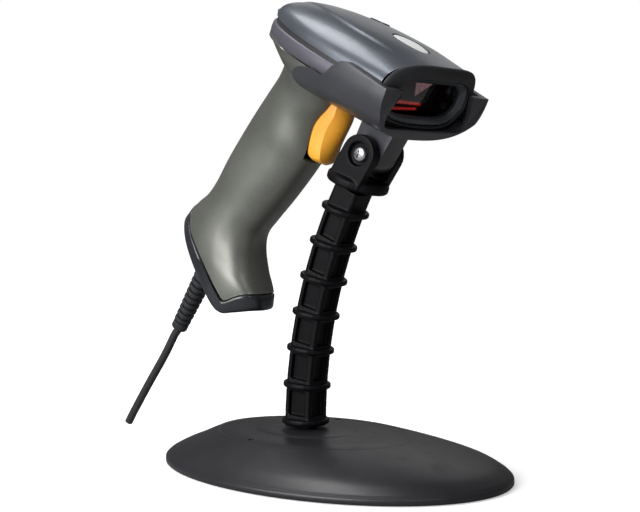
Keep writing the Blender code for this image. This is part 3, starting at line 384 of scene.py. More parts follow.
def amber(name):
    """Glossy trigger plastic that lets a little light in."""
    s = Shader(name)
    flow = s.remap(s.noise(70.0, 4.0), 0.3, 0.7, 0.0, 1.0)
    body = s.blend(flow, rgb(0.86, 0.36, 0.030), rgb(0.95, 0.46, 0.050))
    # trigger edges painted pale yellow: a painted edge highlight, patchy like rubbed wear
    body = s.pale_edges_highlight_and_wear(body, rgb(1.0, 0.62, 0.18), 0.5)
    s.set(Base_Color=body, Roughness=s.remap(s.noise(150.0, 4.0), 0.3, 0.7, 0.26, 0.38),
          Subsurface_Weight=0.25, Subsurface_Radius=(1.0, 0.45, 0.10), Subsurface_Scale=0.002)
    s.bump(s.noise(1500.0, 2.0), 0.05, 0.00004)
    return s.material


def scan_line(s, x, z, middle, slope, half, x_high):
    """1 inside a soft-edged line z = middle + slope * x that ends at x_high, 0 outside; metres."""
    line_z = s.math("ADD", s.math("MULTIPLY", x, slope), middle)
    away = s.math("ABSOLUTE", s.math("SUBTRACT", z, line_z), 0.0)
    line = s.remap(away, half * 0.5, half * 1.3, 1.0, 0.0)
    left, right = s.remap(x, -0.0306, -0.030, 0.0, 1.0), s.remap(x, x_high, x_high + 0.002, 1.0, 0.0)
    return s.math("MULTIPLY", line, s.math("MULTIPLY", left, right))


def mirror_reflection_mask(s, x, z):
    """1 inside the painted reflection of the mirror's edge, a pale wedge right of the lines between two sloping
    edges and an upright one.
    """
    above = s.remap(s.math("SUBTRACT", z, s.math("MULTIPLY", x, 0.62)), 0.0338, 0.0344, 0.0, 1.0)
    left = s.remap(s.math("ADD", x, s.math("MULTIPLY", z, 0.44)), 0.0148, 0.0154, 0.0, 1.0)
    right = s.remap(x, 0.012, 0.013, 1.0, 0.0)
    return s.math("MULTIPLY", above, s.math("MULTIPLY", left, right))


def red_window(name):
    """Polished dark red filter: two scan lines shine through it, beside a painted reflection of the mirror's edge;
    wipe marks in its gloss.
    """
    s = Shader(name)
    depth = s.remap(s.noise(60.0, 2.0), 0.3, 0.7, 0.0, 1.0)
    x = s.node("ShaderNodeSeparateXYZ", Vector=s.place).outputs["X"]
    from_pivot = s.vector_math("SUBTRACT", s.place, PIVOT).outputs["Vector"]
    z = s.vector_math("DOT_PRODUCT", from_pivot, HEAD_UP).outputs["Value"]
    lines = s.math("MAXIMUM", scan_line(s, x, z, 0.0306, -0.02, 0.0008, 0.0065),
                   scan_line(s, x, z, 0.0279, 0.03, 0.0007, 0.004))
    # painted reflection: the mirror's edge behind the filter, as pale pink emission
    painted_mirror_reflection = s.blend(mirror_reflection_mask(s, x, z), rgb(0.0, 0.0, 0.0), rgb(0.115, 0.062, 0.066))
    s.set(Base_Color=s.blend(depth, rgb(0.006, 0.001, 0.002), rgb(0.014, 0.002, 0.004)),
          Emission_Color=s.blend(lines, painted_mirror_reflection, rgb(0.21, 0.012, 0.010)),
          Emission_Strength=s.remap(s.noise(420.0, 3.0), 0.3, 0.7, 0.6, 1.2),
          Roughness=s.remap(s.noise(300.0, 4.0, 0.6), 0.4, 0.8, 0.03, 0.14),
          Coat_Weight=0.4, Coat_Roughness=0.03)
    s.bump(s.noise(35.0, 1.0), 0.03, 0.0002)
    return s.material


def circuit_board(name):
    """Solder mask with a faint net of traces."""
    s = Shader(name)
    cells = s.node("ShaderNodeTexVoronoi", Vector=s.place, Scale=420.0)
    cells.feature, cells.distance = "F1", "CHEBYCHEV"
    trace = s.remap(cells.outputs["Distance"], 0.42, 0.50, 0.0, 0.7)
    s.set(Base_Color=s.blend(trace, rgb(0.010, 0.085, 0.038), rgb(0.030, 0.190, 0.080)),
          Roughness=s.remap(s.noise(200.0), 0.3, 0.7, 0.28, 0.45))
    s.bump(trace, 0.2, 0.00004)
    return s.material


def copper_winding(name):
    """Enamelled wire, its turns square to the tilted coil's length."""
    s = Shader(name)
    tilted = s.node("ShaderNodeMapping", Vector=s.place, Rotation=(radians(65.0), 0.0, 0.0)).outputs["Vector"]
    wave = s.node("ShaderNodeTexWave", Vector=tilted, Scale=480.0, Distortion=0.4)
    wave.bands_direction = "Z"
    turns = wave.outputs["Fac"]
    s.set(Base_Color=s.blend(turns, rgb(0.30, 0.09, 0.03), rgb(0.72, 0.30, 0.12)), Metallic=1.0,
          Roughness=s.remap(s.noise(300.0), 0.3, 0.7, 0.22, 0.40))
    s.bump(turns, 0.5, 0.00008)
    return s.material


def make_looks():
    """Every look by name; each but bezel_rim is the look of the record's slot of that name."""
    plastics = {
        "stand_plastic": ((0.016, 0.016, 0.019), 0.40, dict(grain=0.22, edge=0.15)),
        "black_plastic": ((0.003, 0.003, 0.004), 0.46, dict(grain=0.14, edge=0.3, shine=0.14)),
        "cradle_plastic": ((0.040, 0.041, 0.048), 0.34, dict(edge=0.20)),
        "body_satin": ((0.150, 0.155, 0.138), 0.36,
                       dict(grain=0.12, fleck=0.30, metallic=0.55, edge=0.10, tint=0.08, coat=0.15)),
        "cover_satin": ((0.095, 0.106, 0.125), 0.34,
                        dict(fleck=0.25, metallic=0.50, edge=0.10, tint=0.10, coat=0.15)),
        "band_satin": ((0.100, 0.098, 0.120), 0.42,
                       dict(grain=0.14, fleck=0.15, metallic=0.35, edge=0.12, tint=0.10)),
        "cap_gloss": ((0.018, 0.020, 0.024), 0.24, dict(grain=0.05, edge=0.15, coat=0.3)),
        "component_black": ((0.020, 0.020, 0.022), 0.50, dict(grain=0.2)),
        "badge_white": ((0.90, 0.90, 0.89), 0.26, dict(grain=0.03, tint=0.03, edge=0.0, coat=0.4)),
        "indicator_smoke": ((0.020, 0.024, 0.026), 0.16, dict(grain=0.03, coat=0.5)),
        "plunger_grey": ((0.130, 0.125, 0.145), 0.42, {}),
        "bezel_rim": ((0.060, 0.066, 0.076), 0.26, dict(grain=0.05, edge=0.2, coat=0.2)),
    }
    looks = {name: moulded(name, colour, roughness, **more)
             for name, (colour, roughness, more) in plastics.items()}
    for name, values in {
            "plain_steel": ((0.56, 0.56, 0.55), 0.34),
            "bright_chrome": ((0.62, 0.62, 0.64), 0.26, (1.0, 1.0, 14.0), 0.08),
            "plain_brass": ((0.62, 0.44, 0.17), 0.32),
            "mirror_face": ((0.86, 0.87, 0.88), 0.08, (1.0, 1.0, 1.0), 0.05)}.items():
        looks[name] = metal(name, *values)
    for name, maker in {"black_rubber": rubber, "trigger_amber": amber, "window_red": red_window,
                        "board_green": circuit_board, "coil_copper": copper_winding}.items():
        looks[name] = maker(name)
    return looks


LOOKS = make_looks()


# ---------------------------------------------------------------- stand
def base_contours():
    """(half length, half width, centre y, height) of the base's rim, dome, and creased plateau."""
    length, width, low, top = BASE_HIGH.y, BASE_HIGH.x, BASE_LOW.z, BASE_HIGH.z
    rim = [(length - 0.5, width - 0.5, 0.0, low), (length, width, 0.0, low + 0.5),
           (length, width, 0.0, low + 2.3), (length - 0.25, width - 0.2, 0.0, low + 2.9),
           (length - 0.9, width - 0.7, 0.0, low + 3.4)]
    dome = [(92.3, 65.0, 0.0, 5.4), (85.0, 60.0, 0.2, 9.0), (74.0, 52.5, 2.6, 12.5), (63.0, 45.4, 7.0, 15.4),
            (54.6, 40.8, 11.1, 17.15)]
    crease = [(54.1, 40.4, 11.3, 17.22), (53.7, 40.1, 11.4, 17.05), (53.2, 39.7, 11.5, 16.85),
              (52.4, 39.1, 11.7, 16.85), (51.9, 38.7, 11.8, 17.1)]
    plateau = [(40.0, 30.4, 14.2, 17.5), (28.2, 22.2, 16.7, 17.82), (27.5, 21.6, 16.8, 17.9),
               (26.9, 21.1, 16.9, 18.25), (26.2, 20.6, 17.0, 18.42), (18.0, 15.5, 17.2, 18.65),
               (10.6, 10.6, BASE_MIDDLE_Y, top - 0.1), (9.0, 9.0, BASE_MIDDLE_Y, top)]
    return rim[:4], curve_through([rim[4]] + dome, 6), crease + plateau


def ellipse(half_y, half_x, centre_y, z):
    return [(half_x * cos(a), centre_y + half_y * sin(a), z) for a in angles(144)]


def build_base():
    rim, dome, dish = base_contours()
    outer = [ellipse(*level) for level in [*rim, *dome, *dish]]
    inner = [ellipse(length - BASE_WALL, width - BASE_WALL, y, max(z - BASE_WALL, BASE_LOW.z))
             for length, width, y, z in [rim[0], *dome[::3], dish[5]]]
    inner.append(ellipse(8.5, 8.5, BASE_MIDDLE_Y, BASE_HIGH.z - 3.0))
    base = skin("base_dome", outer[::-1] + inner, WORLD)
    x, y, z = RECESS_SPOT
    for side in (-1, 1):
        cut(base, cylinder((side * x, y, z), (0, 0, 1), RECESS_RADIUS, 4.0))
    smooth_shading(base, 50.0)
    finish_piece(base, "stand_plastic", "stand", "base_shell")


def ring_round(centre, axis, radius, steps):
    axis = Vector(axis).normalized()
    side = axis.orthogonal().normalized()
    other = axis.cross(side)
    return [Vector(centre) + side * radius * cos(a) + other * radius * sin(a) for a in angles(steps)]


def cylinder(start, axis, radius, length, matrix=WORLD):
    """Plain round cutter."""
    return lathe("cutter", ((radius, 0.0), (radius, length)), start, axis, matrix, 48)


def lathe(name, profile, start, axis, matrix=WORLD, steps=64):
    """Surface of (radius, distance along the axis) pairs turned round the axis."""
    axis = Vector(axis).normalized()
    return skin(name, [ring_round(Vector(start) + axis * d, axis, r, steps) for r, d in profile], matrix)


def build_tilt_screw():
    """Domed pan head with a cross recess, and its shank."""
    start = Vector((SCREW_LOW.x, PIVOT.y / MM, PIVOT.z / MM))
    profile = [(0.3, 0.02), (1.4, 0.10), (2.4, 0.32), (3.1, 0.68), (3.6, 1.10), (3.95, 1.60), (4.05, 2.05),
               (4.0, 2.2), (2.0, 2.25), (2.0, 25.6), (1.6, 26.0)]
    screw = lathe("screw_head", profile, start, (1, 0, 0))
    for turn in (0.35, 0.35 + pi / 2):
        along, across = Vector((0, cos(turn), sin(turn))), Vector((0, -sin(turn), cos(turn)))
        rows = []
        for depth, reach, half in ((-0.5, 2.3, 0.52), (0.6, 1.9, 0.45), (1.9, 0.5, 0.30)):
            middle = start + Vector((depth, 0, 0))
            rows.append([middle + along * reach * a + across * half * b
                         for a, b in ((1, 1), (-1, 1), (-1, -1), (1, -1))])
        cut(screw, skin("bar", rows, WORLD))
    smooth_shading(screw, 35.0)
    finish_piece(screw, "bright_chrome", "stand", "tilt_screw")


def build_neck():
    """The CAD's own ribbed neck and yoke, with moulded edges."""
    for name, node, passes in (("neck_column", "neck", 2), ("yoke_fork", "yoke", 5)):
        finish_piece(softened(name, node, passes), "black_plastic", "stand", node)


# ---------------------------------------------------------------- head outlines (head frame)
def half_width(y, inset=0.0):
    t = min(1.0, max(0.0, y) / (HEAD_REAR - inset))
    return (HEAD_WIDTH - inset) * (1.0 - t ** 2.6) ** (1 / 2.2)


def seam_rise(y):
    return SEAM_RISE * max(0.0, y - SEAM_RISE_START)


def stations(count, front, rear):
    """Positions along the head, packed towards the rounded rear."""
    return [front + (rear - front) * sin(0.5 * pi * k / (count - 1)) for k in range(count)]


def nose_offset(y, x, z, width):
    """How far the front edge runs back towards the sides and the floor; it fades out behind."""
    fade = max(0.0, 1.0 - (y - HEAD_FRONT) / NOSE_REACH)
    rake = NOSE_RAKE * max(0.0, NOSE_MIDDLE - z) / (NOSE_MIDDLE - HEAD_BOTTOM)
    bow = NOSE_BOW * (x / width) ** 2 if width > 0.1 else 0.0
    return fade * (bow + rake)


def facet_edge(y):
    """Half width of the raised facet on the cover's crown."""
    places = (-30.0, 5.0, 18.0, 26.0, 39.0, 63.0, 77.0)
    return float(np.interp(y, places, (23.0, 22.6, 22.0, 20.5, 17.0, 5.0, 0.5)))


def cover_ring(y):
    """Section of the cover from edge to edge: the arch with its raised facet."""
    width = half_width(y, COVER_INSET)
    crown = CROWN - CROWN_FALL * (y - CROWN_Y) ** 2 - COVER_BOTTOM - seam_rise(y)
    t = min(1.0, max(0.0, y) / (HEAD_REAR - COVER_INSET))
    height = crown * (1.0 - t ** 9) ** (1 / 2.4)
    lift = FACET_LIFT * smoothstep(-16.0, 6.0, y) * (1.0 - smoothstep(60.0, 74.0, y))
    ring = []
    for k in range(97):
        x, z = superellipse(pi * k / 96, width, height, 2.45)
        z += lift * (1.0 - smoothstep(facet_edge(y) - 0.6, facet_edge(y) + 1.4, abs(x))) - 0.3 * lift
        z = max(z, 0.0)
        low = COVER_BOTTOM + seam_rise(y) + seam_opening(y) * (1.0 - z / max(height, 1.0))
        ring.append((x, y + nose_offset(y, x, COVER_BOTTOM, width), low + z))
    return ring


def seam_opening(y):
    """How much the cover's edge stands up from its CAD height."""
    return SEAM_GAP_GROWTH * max(0.0, y - SEAM_RISE_START)


def cover_height(x, y):
    """Height of the cover's outer face."""
    ring = sorted((px, z) for px, _, z in cover_ring(y))
    return float(np.interp(x, [px for px, _ in ring], [z for _, z in ring]))


def with_lip(ring):
    """The mirror-symmetric ring with both ends turned in under the edge."""
    x, y, z = ring[0]
    deep, soft = max(0.0, x - LIP_DEPTH), max(0.0, x - 0.5)
    start = [(deep, y, z - LIP_DROP), (deep, y, z), (soft, y, z), (x, y, z + 0.4)]
    return start + ring[1:-1] + [(-px, py, pz) for px, py, pz in start[::-1]]


def build_cover():
    rows = [cover_ring(y) for y in stations(90, HEAD_FRONT, HEAD_REAR - COVER_INSET)]
    front = [(x * 0.97, y + 0.2, COVER_BOTTOM + (z - COVER_BOTTOM) * 0.96) for x, y, z in rows[0]]
    cover = skin("cover_shell", [with_lip(ring) for ring in [front] + rows], HEAD, closed=False)
    thicken(cover, COVER_WALL, (0.0, HEAD_MIDDLE, COVER_BOTTOM))
    cut(cover, oval_column((0.0, BADGE_MIDDLE.y), BADGE_HALF, 0.7, BADGE_LOW.z + 0.2, 0.0))
    cut(cover, oval_column(LENS_SPOT, LENS_HALF, 0.4, LENS_LOW.z, LENS_TURN))
    smooth_shading(cover, 34.0)
    finish_piece(cover, "cover_satin", "scanner", "top_cover")


def oval(centre, half, turn, share, margin, steps):
    """Points of an oval in plan, turned clockwise by degrees; the margin widens it."""
    c, k = cos(radians(-turn)), sin(radians(-turn))
    points = []
    for a in angles(steps):
        x, y = share * (half[0] + margin) * cos(a), share * (half[1] + margin) * sin(a)
        points.append((centre[0] + x * c - y * k, centre[1] + x * k + y * c))
    return points


def oval_column(centre, half, margin, low, turn):
    """Cutter from low up through the cover."""
    spots = oval(centre, half, turn, 1.0, margin, 64)
    return prism(spots, low, ABOVE_HEAD, "z")


def cover_inlay(name, centre, half, margin, levels, turn, slot, *nodes):
    """Lid set into the cover: (share of the half sizes, drop under the cover's face) from rim to middle."""
    rows = []
    for share, drop in levels:
        spots = oval(centre, half, turn, share, margin, 72)
        rows.append([(x, y, cover_height(x, y) - drop) for x, y in spots])
    piece = skin(name, rows, HEAD)
    smooth_shading(piece, 40.0)
    finish_piece(piece, slot, "scanner", *nodes)


def build_inlays():
    badge_spot = (0.0, BADGE_MIDDLE.y)
    lens = ((1.0, 1.9), (1.0, -0.35), (0.97, -0.55), (0.92, -0.5), (0.88, -0.1), (0.6, -0.15), (0.3, -0.2),
            (0.02, -0.2))
    cover_inlay("indicator_window", LENS_SPOT, LENS_HALF, 0.0, lens, LENS_TURN, "indicator_smoke",
                "indicator_lens")
    # painted shade: a black ring in the groove round the badge stands in for its shadow
    rim = ((1.0, 1.2), (1.0, 0.55), (0.95, 0.5), (0.93, 0.9), (0.93, 1.2))
    cover_inlay("badge_groove_shade", badge_spot, BADGE_HALF, 0.65, rim, 0.0, "component_black")
    plate = ((1.0, 1.1), (1.0, 0.5), (0.97, 0.28), (0.92, 0.16), (0.7, 0.05), (0.4, 0.0), (0.02, 0.0))
    cover_inlay("badge_plate", badge_spot, BADGE_HALF, -0.1, plate, 0.0, "badge_white", "badge")


def swept_round(name, section, front, slot, *nodes):
    """Strip swept along one side, round the rear and back along the other; section is (out, height)."""
    near = [(half_width(y), y) for y in stations(70, front, HEAD_REAR)]
    path = near + [(-x, y) for x, y in near[-2::-1]]
    rows = []
    for k, (x, y) in enumerate(path):
        before, after = Vector(path[max(k - 1, 0)]), Vector(path[min(k + 1, len(path) - 1)])
        along = (after - before).normalized()
        out = Vector((along.y, -along.x))
        rows.append([(x + out.x * o, y + out.y * o, BAND_BOTTOM + seam_rise(y) + h) for o, h in section])
    strip = skin(name, rows, HEAD)
    smooth_shading(strip, 50.0)
    finish_piece(strip, slot, "scanner", *nodes)


def build_band():
    """Bulged trim strip between body and cover, and the tongue behind the groove above it, coloured black as
    painted shade in the groove.
    """
    tall = BAND_TALL
    section = ((-2.4, 0.2), (-1.0, 0.0), (-0.35, 0.25), (-0.05, 0.9), (0.18, 0.5 * tall), (0.0, tall - 1.0),
               (-0.3, tall - 0.35), (-1.0, tall), (-2.4, tall))
    swept_round("band_strip", section, -6.0, "band_satin", "side_band")
    tongue = ((-2.3, tall - 1.0), (-1.3, tall - 1.0), (-1.3, tall + 3.4), (-2.3, tall + 3.4))
    # painted shade: the tongue is black so the groove reads as shadow
    swept_round("groove_shade_tongue", tongue, -12.0, "component_black")


# ---------------------------------------------------------------- body and handle
def stern(y):
    return STERN_RISE * (max(0.0, y - STERN_START) / (HEAD_REAR - STERN_START)) ** 2


def tray_ring(y):
    """U section of the head's lower half: rim, side, rounded corner and an almost flat floor."""
    width = half_width(y)
    floor = HEAD_BOTTOM + stern(y)
    rim = TRAY_TOP + seam_rise(y)
    corner = min(TRAY_CORNER, rim - floor)
    tuck = TUCK_DEPTH * smoothstep(34.0, 68.0, y)
    ring = [(width, y, rim)]
    for k in range(65):
        x, z = superellipse(-pi * k / 64, width, corner, 3.2)
        inward = tuck * (0.10 + 0.90 * min(1.0, -z / max(corner, 0.1)) ** 1.3)
        out = Vector((x, y - TUCK_MIDDLE))
        out *= max(0.0, 1.0 - inward / max(out.length, 0.1))
        ring.append((out.x, TUCK_MIDDLE + out.y if y > TUCK_MIDDLE else y, floor + corner + z))
    ring.append((-width, y, rim))
    return [(x, py + nose_offset(y, x, z, width), z) for x, py, z in ring]


def handle_rows():
    """The handle from top to toe: front point, back point (y, z in the plane of symmetry) and half width."""
    return curve_through([
        (14.0, 29.0, 67.0, 34.0, 28.0), (19.5, 22.5, 61.8, 27.0, 23.5), (24.5, 18.0, 62.2, 22.5, 20.2),
        (27.0, 11.0, 64.4, 14.5, 17.2), (31.0, 0.0, 68.0, 4.0, 16.1), (29.4, -14.0, 72.4, -9.0, 15.7),
        (31.0, -23.0, 76.1, -22.0, 15.2), (37.0, -41.0, 79.6, -37.0, 15.0), (43.4, -57.0, 81.6, -50.0, 15.0),
        (46.8, -67.0, 84.2, -59.0, 15.4), (44.6, -76.0, 89.0, -66.5, 16.0), (37.5, -86.0, 93.4, -76.0, 16.8),
        (28.8, -96.0, 93.6, -89.0, 17.2), (27.6, -112.0, 91.0, -112.0, 17.2)], 10)


def handle_point(row, angle, inset):
    """Point of the handle's skin on one section."""
    front, back = Vector(row[:2]), Vector(row[2:4])
    middle, half = (front + back) / 2, (back - front) / 2
    half *= 1.0 - inset / half.length
    p, x = superellipse(angle, 1.0, row[4] - inset, 2.3)
    spot = middle + half * p
    return Vector((x, spot.x, spot.y))


SEAM_POINTS = [(110.0, -56.0), (92.5, -66.0), (87.5, -71.8), (80.5, -79.4), (73.5, -83.8), (62.0, -91.0),
               (48.7, -99.7), (44.4, -102.2), (41.6, -100.0), (37.5, -95.8), (33.0, -93.2), (26.0, -90.8),
               (15.0, -88.4)]
FACE_POINTS = [(15.0, -99.5), (28.0, -100.6), (37.0, -105.3), (46.0, -109.0), (62.0, -99.8),
               (80.0, -88.0), (93.0, -78.4), (110.0, -64.4)]


def side_line(points):
    """Smooth side-view line as two arrays, ordered along y."""
    line = curve_through(points, 6)
    return line[np.argsort(line[:, 0])].T


SEAM, FACE = side_line(SEAM_POINTS), side_line(FACE_POINTS)


def line_height(line, y):
    """Height of a side-view line at y."""
    return float(np.interp(y, line[0], line[1]))


def column_down_to(angle, inset, line, offset):
    """Points down one column of the handle, ending exactly on the line moved by the offset."""
    points, gap_before = [], None
    for row in HANDLE:
        spot = handle_point(row, angle, inset)
        gap = spot.z - (line_height(line, spot.y) + offset)
        if gap <= 0.0 and points:
            return points + [points[-1].lerp(spot, gap_before / (gap_before - gap))]
        points.append(spot)
        gap_before = gap
    return points


def resample(points, count):
    """The polyline through the points, as count points evenly along it."""
    p = np.array(points)
    length = np.concatenate([[0.0], np.cumsum(np.linalg.norm(np.diff(p, axis=0), axis=1))])
    wanted = np.linspace(0.0, length[-1], count)
    return np.stack([np.interp(wanted, length, p[:, i]) for i in range(3)], axis=1)


HANDLE = handle_rows()
AROUND = angles(96)


def handle_skin(inset, offset, rows):
    """Rows of closed rings from inside the head down to the seam moved by the offset."""
    columns = [resample(column_down_to(a, inset, SEAM, offset), rows) for a in AROUND]
    return list(zip(*columns))


def build_body():
    outer = [tray_ring(y) for y in stations(64, HEAD_FRONT, HEAD_REAR - 0.3)]
    tray = skin("body_housing", outer, HEAD, closed=False)
    thicken(tray, WALL, (0.0, HEAD_MIDDLE, TRAY_TOP))
    skins = handle_skin(0.0, 0.0, 120)
    inside = handle_skin(WALL, 0.9, 60)
    lip = [[Vector(p).lerp(Vector(q), 0.22) + Vector((0, 0, 0.1)) for p, q in zip(skins[-1], inside[-1])]]
    raised = [[Vector(p) + Vector((0, 0, 0.35)) for p in skins[-1]]]
    handle = skin("handle", skins[:-1] + raised + lip + inside[::-1], HEAD, loop=True)
    half = TRIGGER_HIGH.x + 0.5
    slot = [(10.0, 17.0), (41.0, 17.0), (41.0, -11.0), (37.0, -14.4), (34.0, -16.3), (31.5, -17.6),
            (29.0, -18.3), (24.0, -19.1), (10.0, -20.6)]
    cut(handle, prism(slot, -half, half, "x"))
    smooth_shading(handle, 38.0)
    smooth_shading(tray, 38.0)
    join(tray, handle)
    finish_piece(tray, "body_satin", "scanner", "body_shell")


def join(first, second):
    """Merge the second object's mesh into the first's."""
    work = bmesh.new()
    work.from_mesh(first.data)
    work.from_mesh(second.data)
    work.to_mesh(first.data)
    work.free()
    bpy.data.objects.remove(second)


def cap_ring(line, offset):
    """Where the cap's skin meets the line moved by the offset."""
    return [column_down_to(a, -CAP_PROUD, line, offset)[-1] for a in AROUND]


def build_cap():
    """End cap: a slightly proud skirt under the seam and a rounded, sloping foot."""
    top, foot = cap_ring(SEAM, -CAP_GAP), cap_ring(FACE, 1.6)
    toe, edge = cap_ring(FACE, 0.45), cap_ring(FACE, 0.0)
    middle = Vector(np.mean(edge, axis=0))

    def inward(points, amount):
        moved = []
        for p in points:
            flat = Vector((p.x - middle.x, p.y - middle.y, 0.0))
            moved.append(p - flat * min(1.0, amount / max(flat.length, 1e-6)))
        return moved

    def on_face(points):
        return [Vector((x, y, line_height(FACE, y))) for x, y in points]

    rows = [inward(top, 2.4), inward(top, 0.5), [p - Vector((0, 0, 0.45)) for p in top]]
    for t in (0.25, 0.5, 0.75):
        rows.append([a.lerp(b, t) for a, b in zip(top, foot)])
    rows += [foot, inward(toe, 0.4), on_face([p.xy for p in inward(edge, 1.5)])]
    for share in (0.8, 0.6, 0.4, 0.2, 0.0):
        rows.append(on_face([middle.xy + (p.xy - middle.xy) * share * 0.95 for p in edge]))
    cap = skin("cap_foot", rows, HEAD, caps=False)
    thicken(cap, CAP_WALL, (middle.x, middle.y, middle.z + 8.0))
    smooth_shading(cap, 45.0)
    finish_piece(cap, "cap_gloss", "scanner", "end_cap")


# ---------------------------------------------------------------- cradle
def prism(outline, low, high, axis):
    """Outline in the head frame's other two axes, drawn out along x, y or z."""
    order = {"x": (2, 0, 1), "y": (0, 2, 1), "z": (0, 1, 2)}[axis]
    rows = [[(*spot, d) for spot in outline] for d in (low, high)]
    return skin("prism", [[tuple(spot[i] for i in order) for spot in row] for row in rows], HEAD)


def cradle_half_width(y):
    return CRADLE_WIDTH - 0.9 * (HEAD_WIDTH - half_width(y)) - 0.04 * max(0.0, y)


def u_section(y, width, top, bottom, corner, power, raked):
    """U section of the cradle; a raked one leans back towards its foot."""
    ring = [(width, y, top)]
    for k in range(57):
        x, z = superellipse(-pi * k / 56, width, corner, power)
        ring.append((x, y, bottom + corner + z))
    ring.append((-width, y, top))
    slope = CRADLE_RAKE / (CRADLE_RAKE_TOP - CRADLE_BOTTOM) if raked else 0.0
    return [(x, py + slope * max(0.0, CRADLE_RAKE_TOP - z), z) for x, py, z in ring]


def build_cradle():
    """Cup under the head: barrel sides, scalloped top edge, open front flange and the tongue below."""
    places = [CRADLE_FRONT, -14.0, -8.0, -2.0, 4.0, 10.0, 16.0, 21.0, 26.0, 30.0, 34.0, 37.0, 40.0]
    outer = [u_section(y, cradle_half_width(y), 50.0, CRADLE_BOTTOM, 24.2, 2.7, y == CRADLE_FRONT)
             for y in places]
    cradle = skin("cradle_cup", outer, HEAD)
    top = [(-20.2, 40.6), (-6.0, 42.2), (0.5, 42.9), (3.6, 42.8), (6.2, 41.5), (9.6, 37.9), (12.0, 34.1),
           (14.6, 32.0), (18.0, 31.5), (23.3, 31.9), (29.1, 30.5), (33.2, 27.8), (35.3, 24.6), (35.7, 21.5),
           (34.6, 17.0), (32.0, 10.0)]
    side = [(CRADLE_FRONT - 6.0, 10.0), (CRADLE_FRONT - 6.0, 39.8), *curve_through(top, 5)]
    cut(cradle, prism(side, -60.0, 60.0, "x"), "INTERSECT")
    places = [CRADLE_FRONT + CRADLE_WALL, -8.0, -2.0, 4.0, 10.0, 16.0, 21.0, 26.0, 30.0, 34.0, 39.0, 44.0]
    inner = [u_section(y, half_width(y) + 0.6, 60.0, HEAD_BOTTOM - 0.4, 11.0, 3.2, k == 0)
             for k, y in enumerate(places)]
    cut(cradle, skin("hollow", inner, HEAD))
    half = [(28.6, 60.0), (28.8, 46.0), (29.4, 40.0), (32.0, 33.0), (33.6, 27.8), (33.6, 25.4), (32.6, 23.0),
            (30.8, 21.7), (28.0, 21.2)]
    mouth = [*half, *((-x, z) for x, z in half[::-1])]
    cut(cradle, prism(mouth, CRADLE_FRONT - 5.0, CRADLE_FRONT + 12.0, "y"))
    quarter = [pi * k / 20 for k in range(11)]
    notch = [(24.0, 50.0), *((17.0 + 7.0 * cos(a), 25.5 - 7.0 * sin(a)) for a in quarter)]
    cut(cradle, prism(notch + [(-x, y) for x, y in notch[::-1]], 5.0, 28.0, "z"))
    radius = TONGUE_RADIUS
    tongue = [(radius * cos(pi + pi * k / 24), radius * sin(pi + pi * k / 24)) for k in range(25)]
    tongue += [(radius - 0.6, 14.0), (radius - 0.6, 18.4), (-radius - 4.9, 18.4), (-radius - 2.4, 14.0)]
    cut(cradle, prism(tongue, -TONGUE_HALF, TONGUE_HALF, "x"), "UNION")
    cut(cradle, cylinder((-12, 0, 0), (1, 0, 0), TONGUE_HOLE, 24.0, HEAD))
    bevel(cradle, 0.45, 3, 34.0)
    apply_modifiers(cradle)
    smooth_shading(cradle, 36.0)
    finish_piece(cradle, "cradle_plastic", "cradle", "cradle")


# ---------------------------------------------------------------- nose
def nose_contour(width, low, high, place, more_bow, power):
    """One contour of the nose: an arch above, flatter below; place and bow count from the head's front."""
    ring = []
    for a in angles(144):
        above = sin(a) > 0.0
        rise = (high - NOSE_MIDDLE) if above else (NOSE_MIDDLE - low)
        x, z = superellipse(a, width, rise, power if above else power + 0.3)
        z += NOSE_MIDDLE
        back = NOSE_RAKE * max(0.0, NOSE_MIDDLE - z) / (NOSE_MIDDLE - HEAD_BOTTOM)
        y = HEAD_FRONT - 0.5 + place
        ring.append((x, y + (NOSE_BOW + more_bow) * (x / HEAD_WIDTH) ** 2 + back, z))
    return ring


def build_nose():
    """Rubber frame with rolled edges, and the glossier rim that holds the window."""
    # half width, low, high, place, more bow, power
    frame_rings = [
        (37.3, 21.9, 52.9, 0.1, 0.0, 3.15), (37.7, 21.6, 53.3, -0.5, 0.3, 3.15),
        (37.7, 21.6, 53.3, -1.3, 0.6, 3.15), (37.2, 21.9, 52.9, -2.1, 0.9, 3.15),
        (36.2, 22.3, 52.1, -2.7, 1.1, 3.15), (34.9, 22.6, 51.0, -3.05, 1.3, 3.15),
        (32.6, 22.8, 49.2, -3.05, 1.5, 3.15), (30.8, 22.9, 47.7, -2.9, 1.6, 3.2),
        (30.1, 23.0, 47.0, -2.5, 1.6, 3.3), (29.8, 23.2, 46.7, -1.8, 1.4, 3.4),
        (29.8, 23.2, 46.7, 5.0, -3.5, 3.6), (32.0, 23.0, 48.0, 5.0, -3.5, 3.3),
        (32.6, 22.9, 48.6, 2.2, -1.5, 3.2)]
    rim_rings = [
        (29.7, 23.3, 46.6, 4.9, -3.5, 3.6), (29.6, 23.3, 46.5, -0.6, 0.6, 3.5),
        (29.3, 23.6, 46.3, -1.2, 0.8, 3.5), (28.8, 24.1, 45.9, -1.3, 0.8, 3.5),
        (27.2, 25.4, 44.9, 0.2, 0.0, 3.6), (26.2, 26.2, 44.0, 1.9, -1.0, 3.6),
        (25.9, 26.5, 43.8, 2.8, -1.6, 3.6), (26.1, 26.4, 43.9, 3.6, -2.0, 3.6),
        (27.0, 25.6, 44.6, 6.4, -4.5, 3.6), (29.0, 24.2, 45.8, 6.4, -4.5, 3.6)]
    nose = skin("nose_frame", [nose_contour(*ring) for ring in frame_rings], HEAD, loop=True)
    rim = skin("window_rim", [nose_contour(*ring) for ring in rim_rings], HEAD, loop=True)
    for piece in (nose, rim):
        smooth_shading(piece, 45.0)
    finish_piece(nose, "black_rubber", "scanner", "nose_bumper")
    finish_piece(rim, "component_black", "scanner", look="bezel_rim")


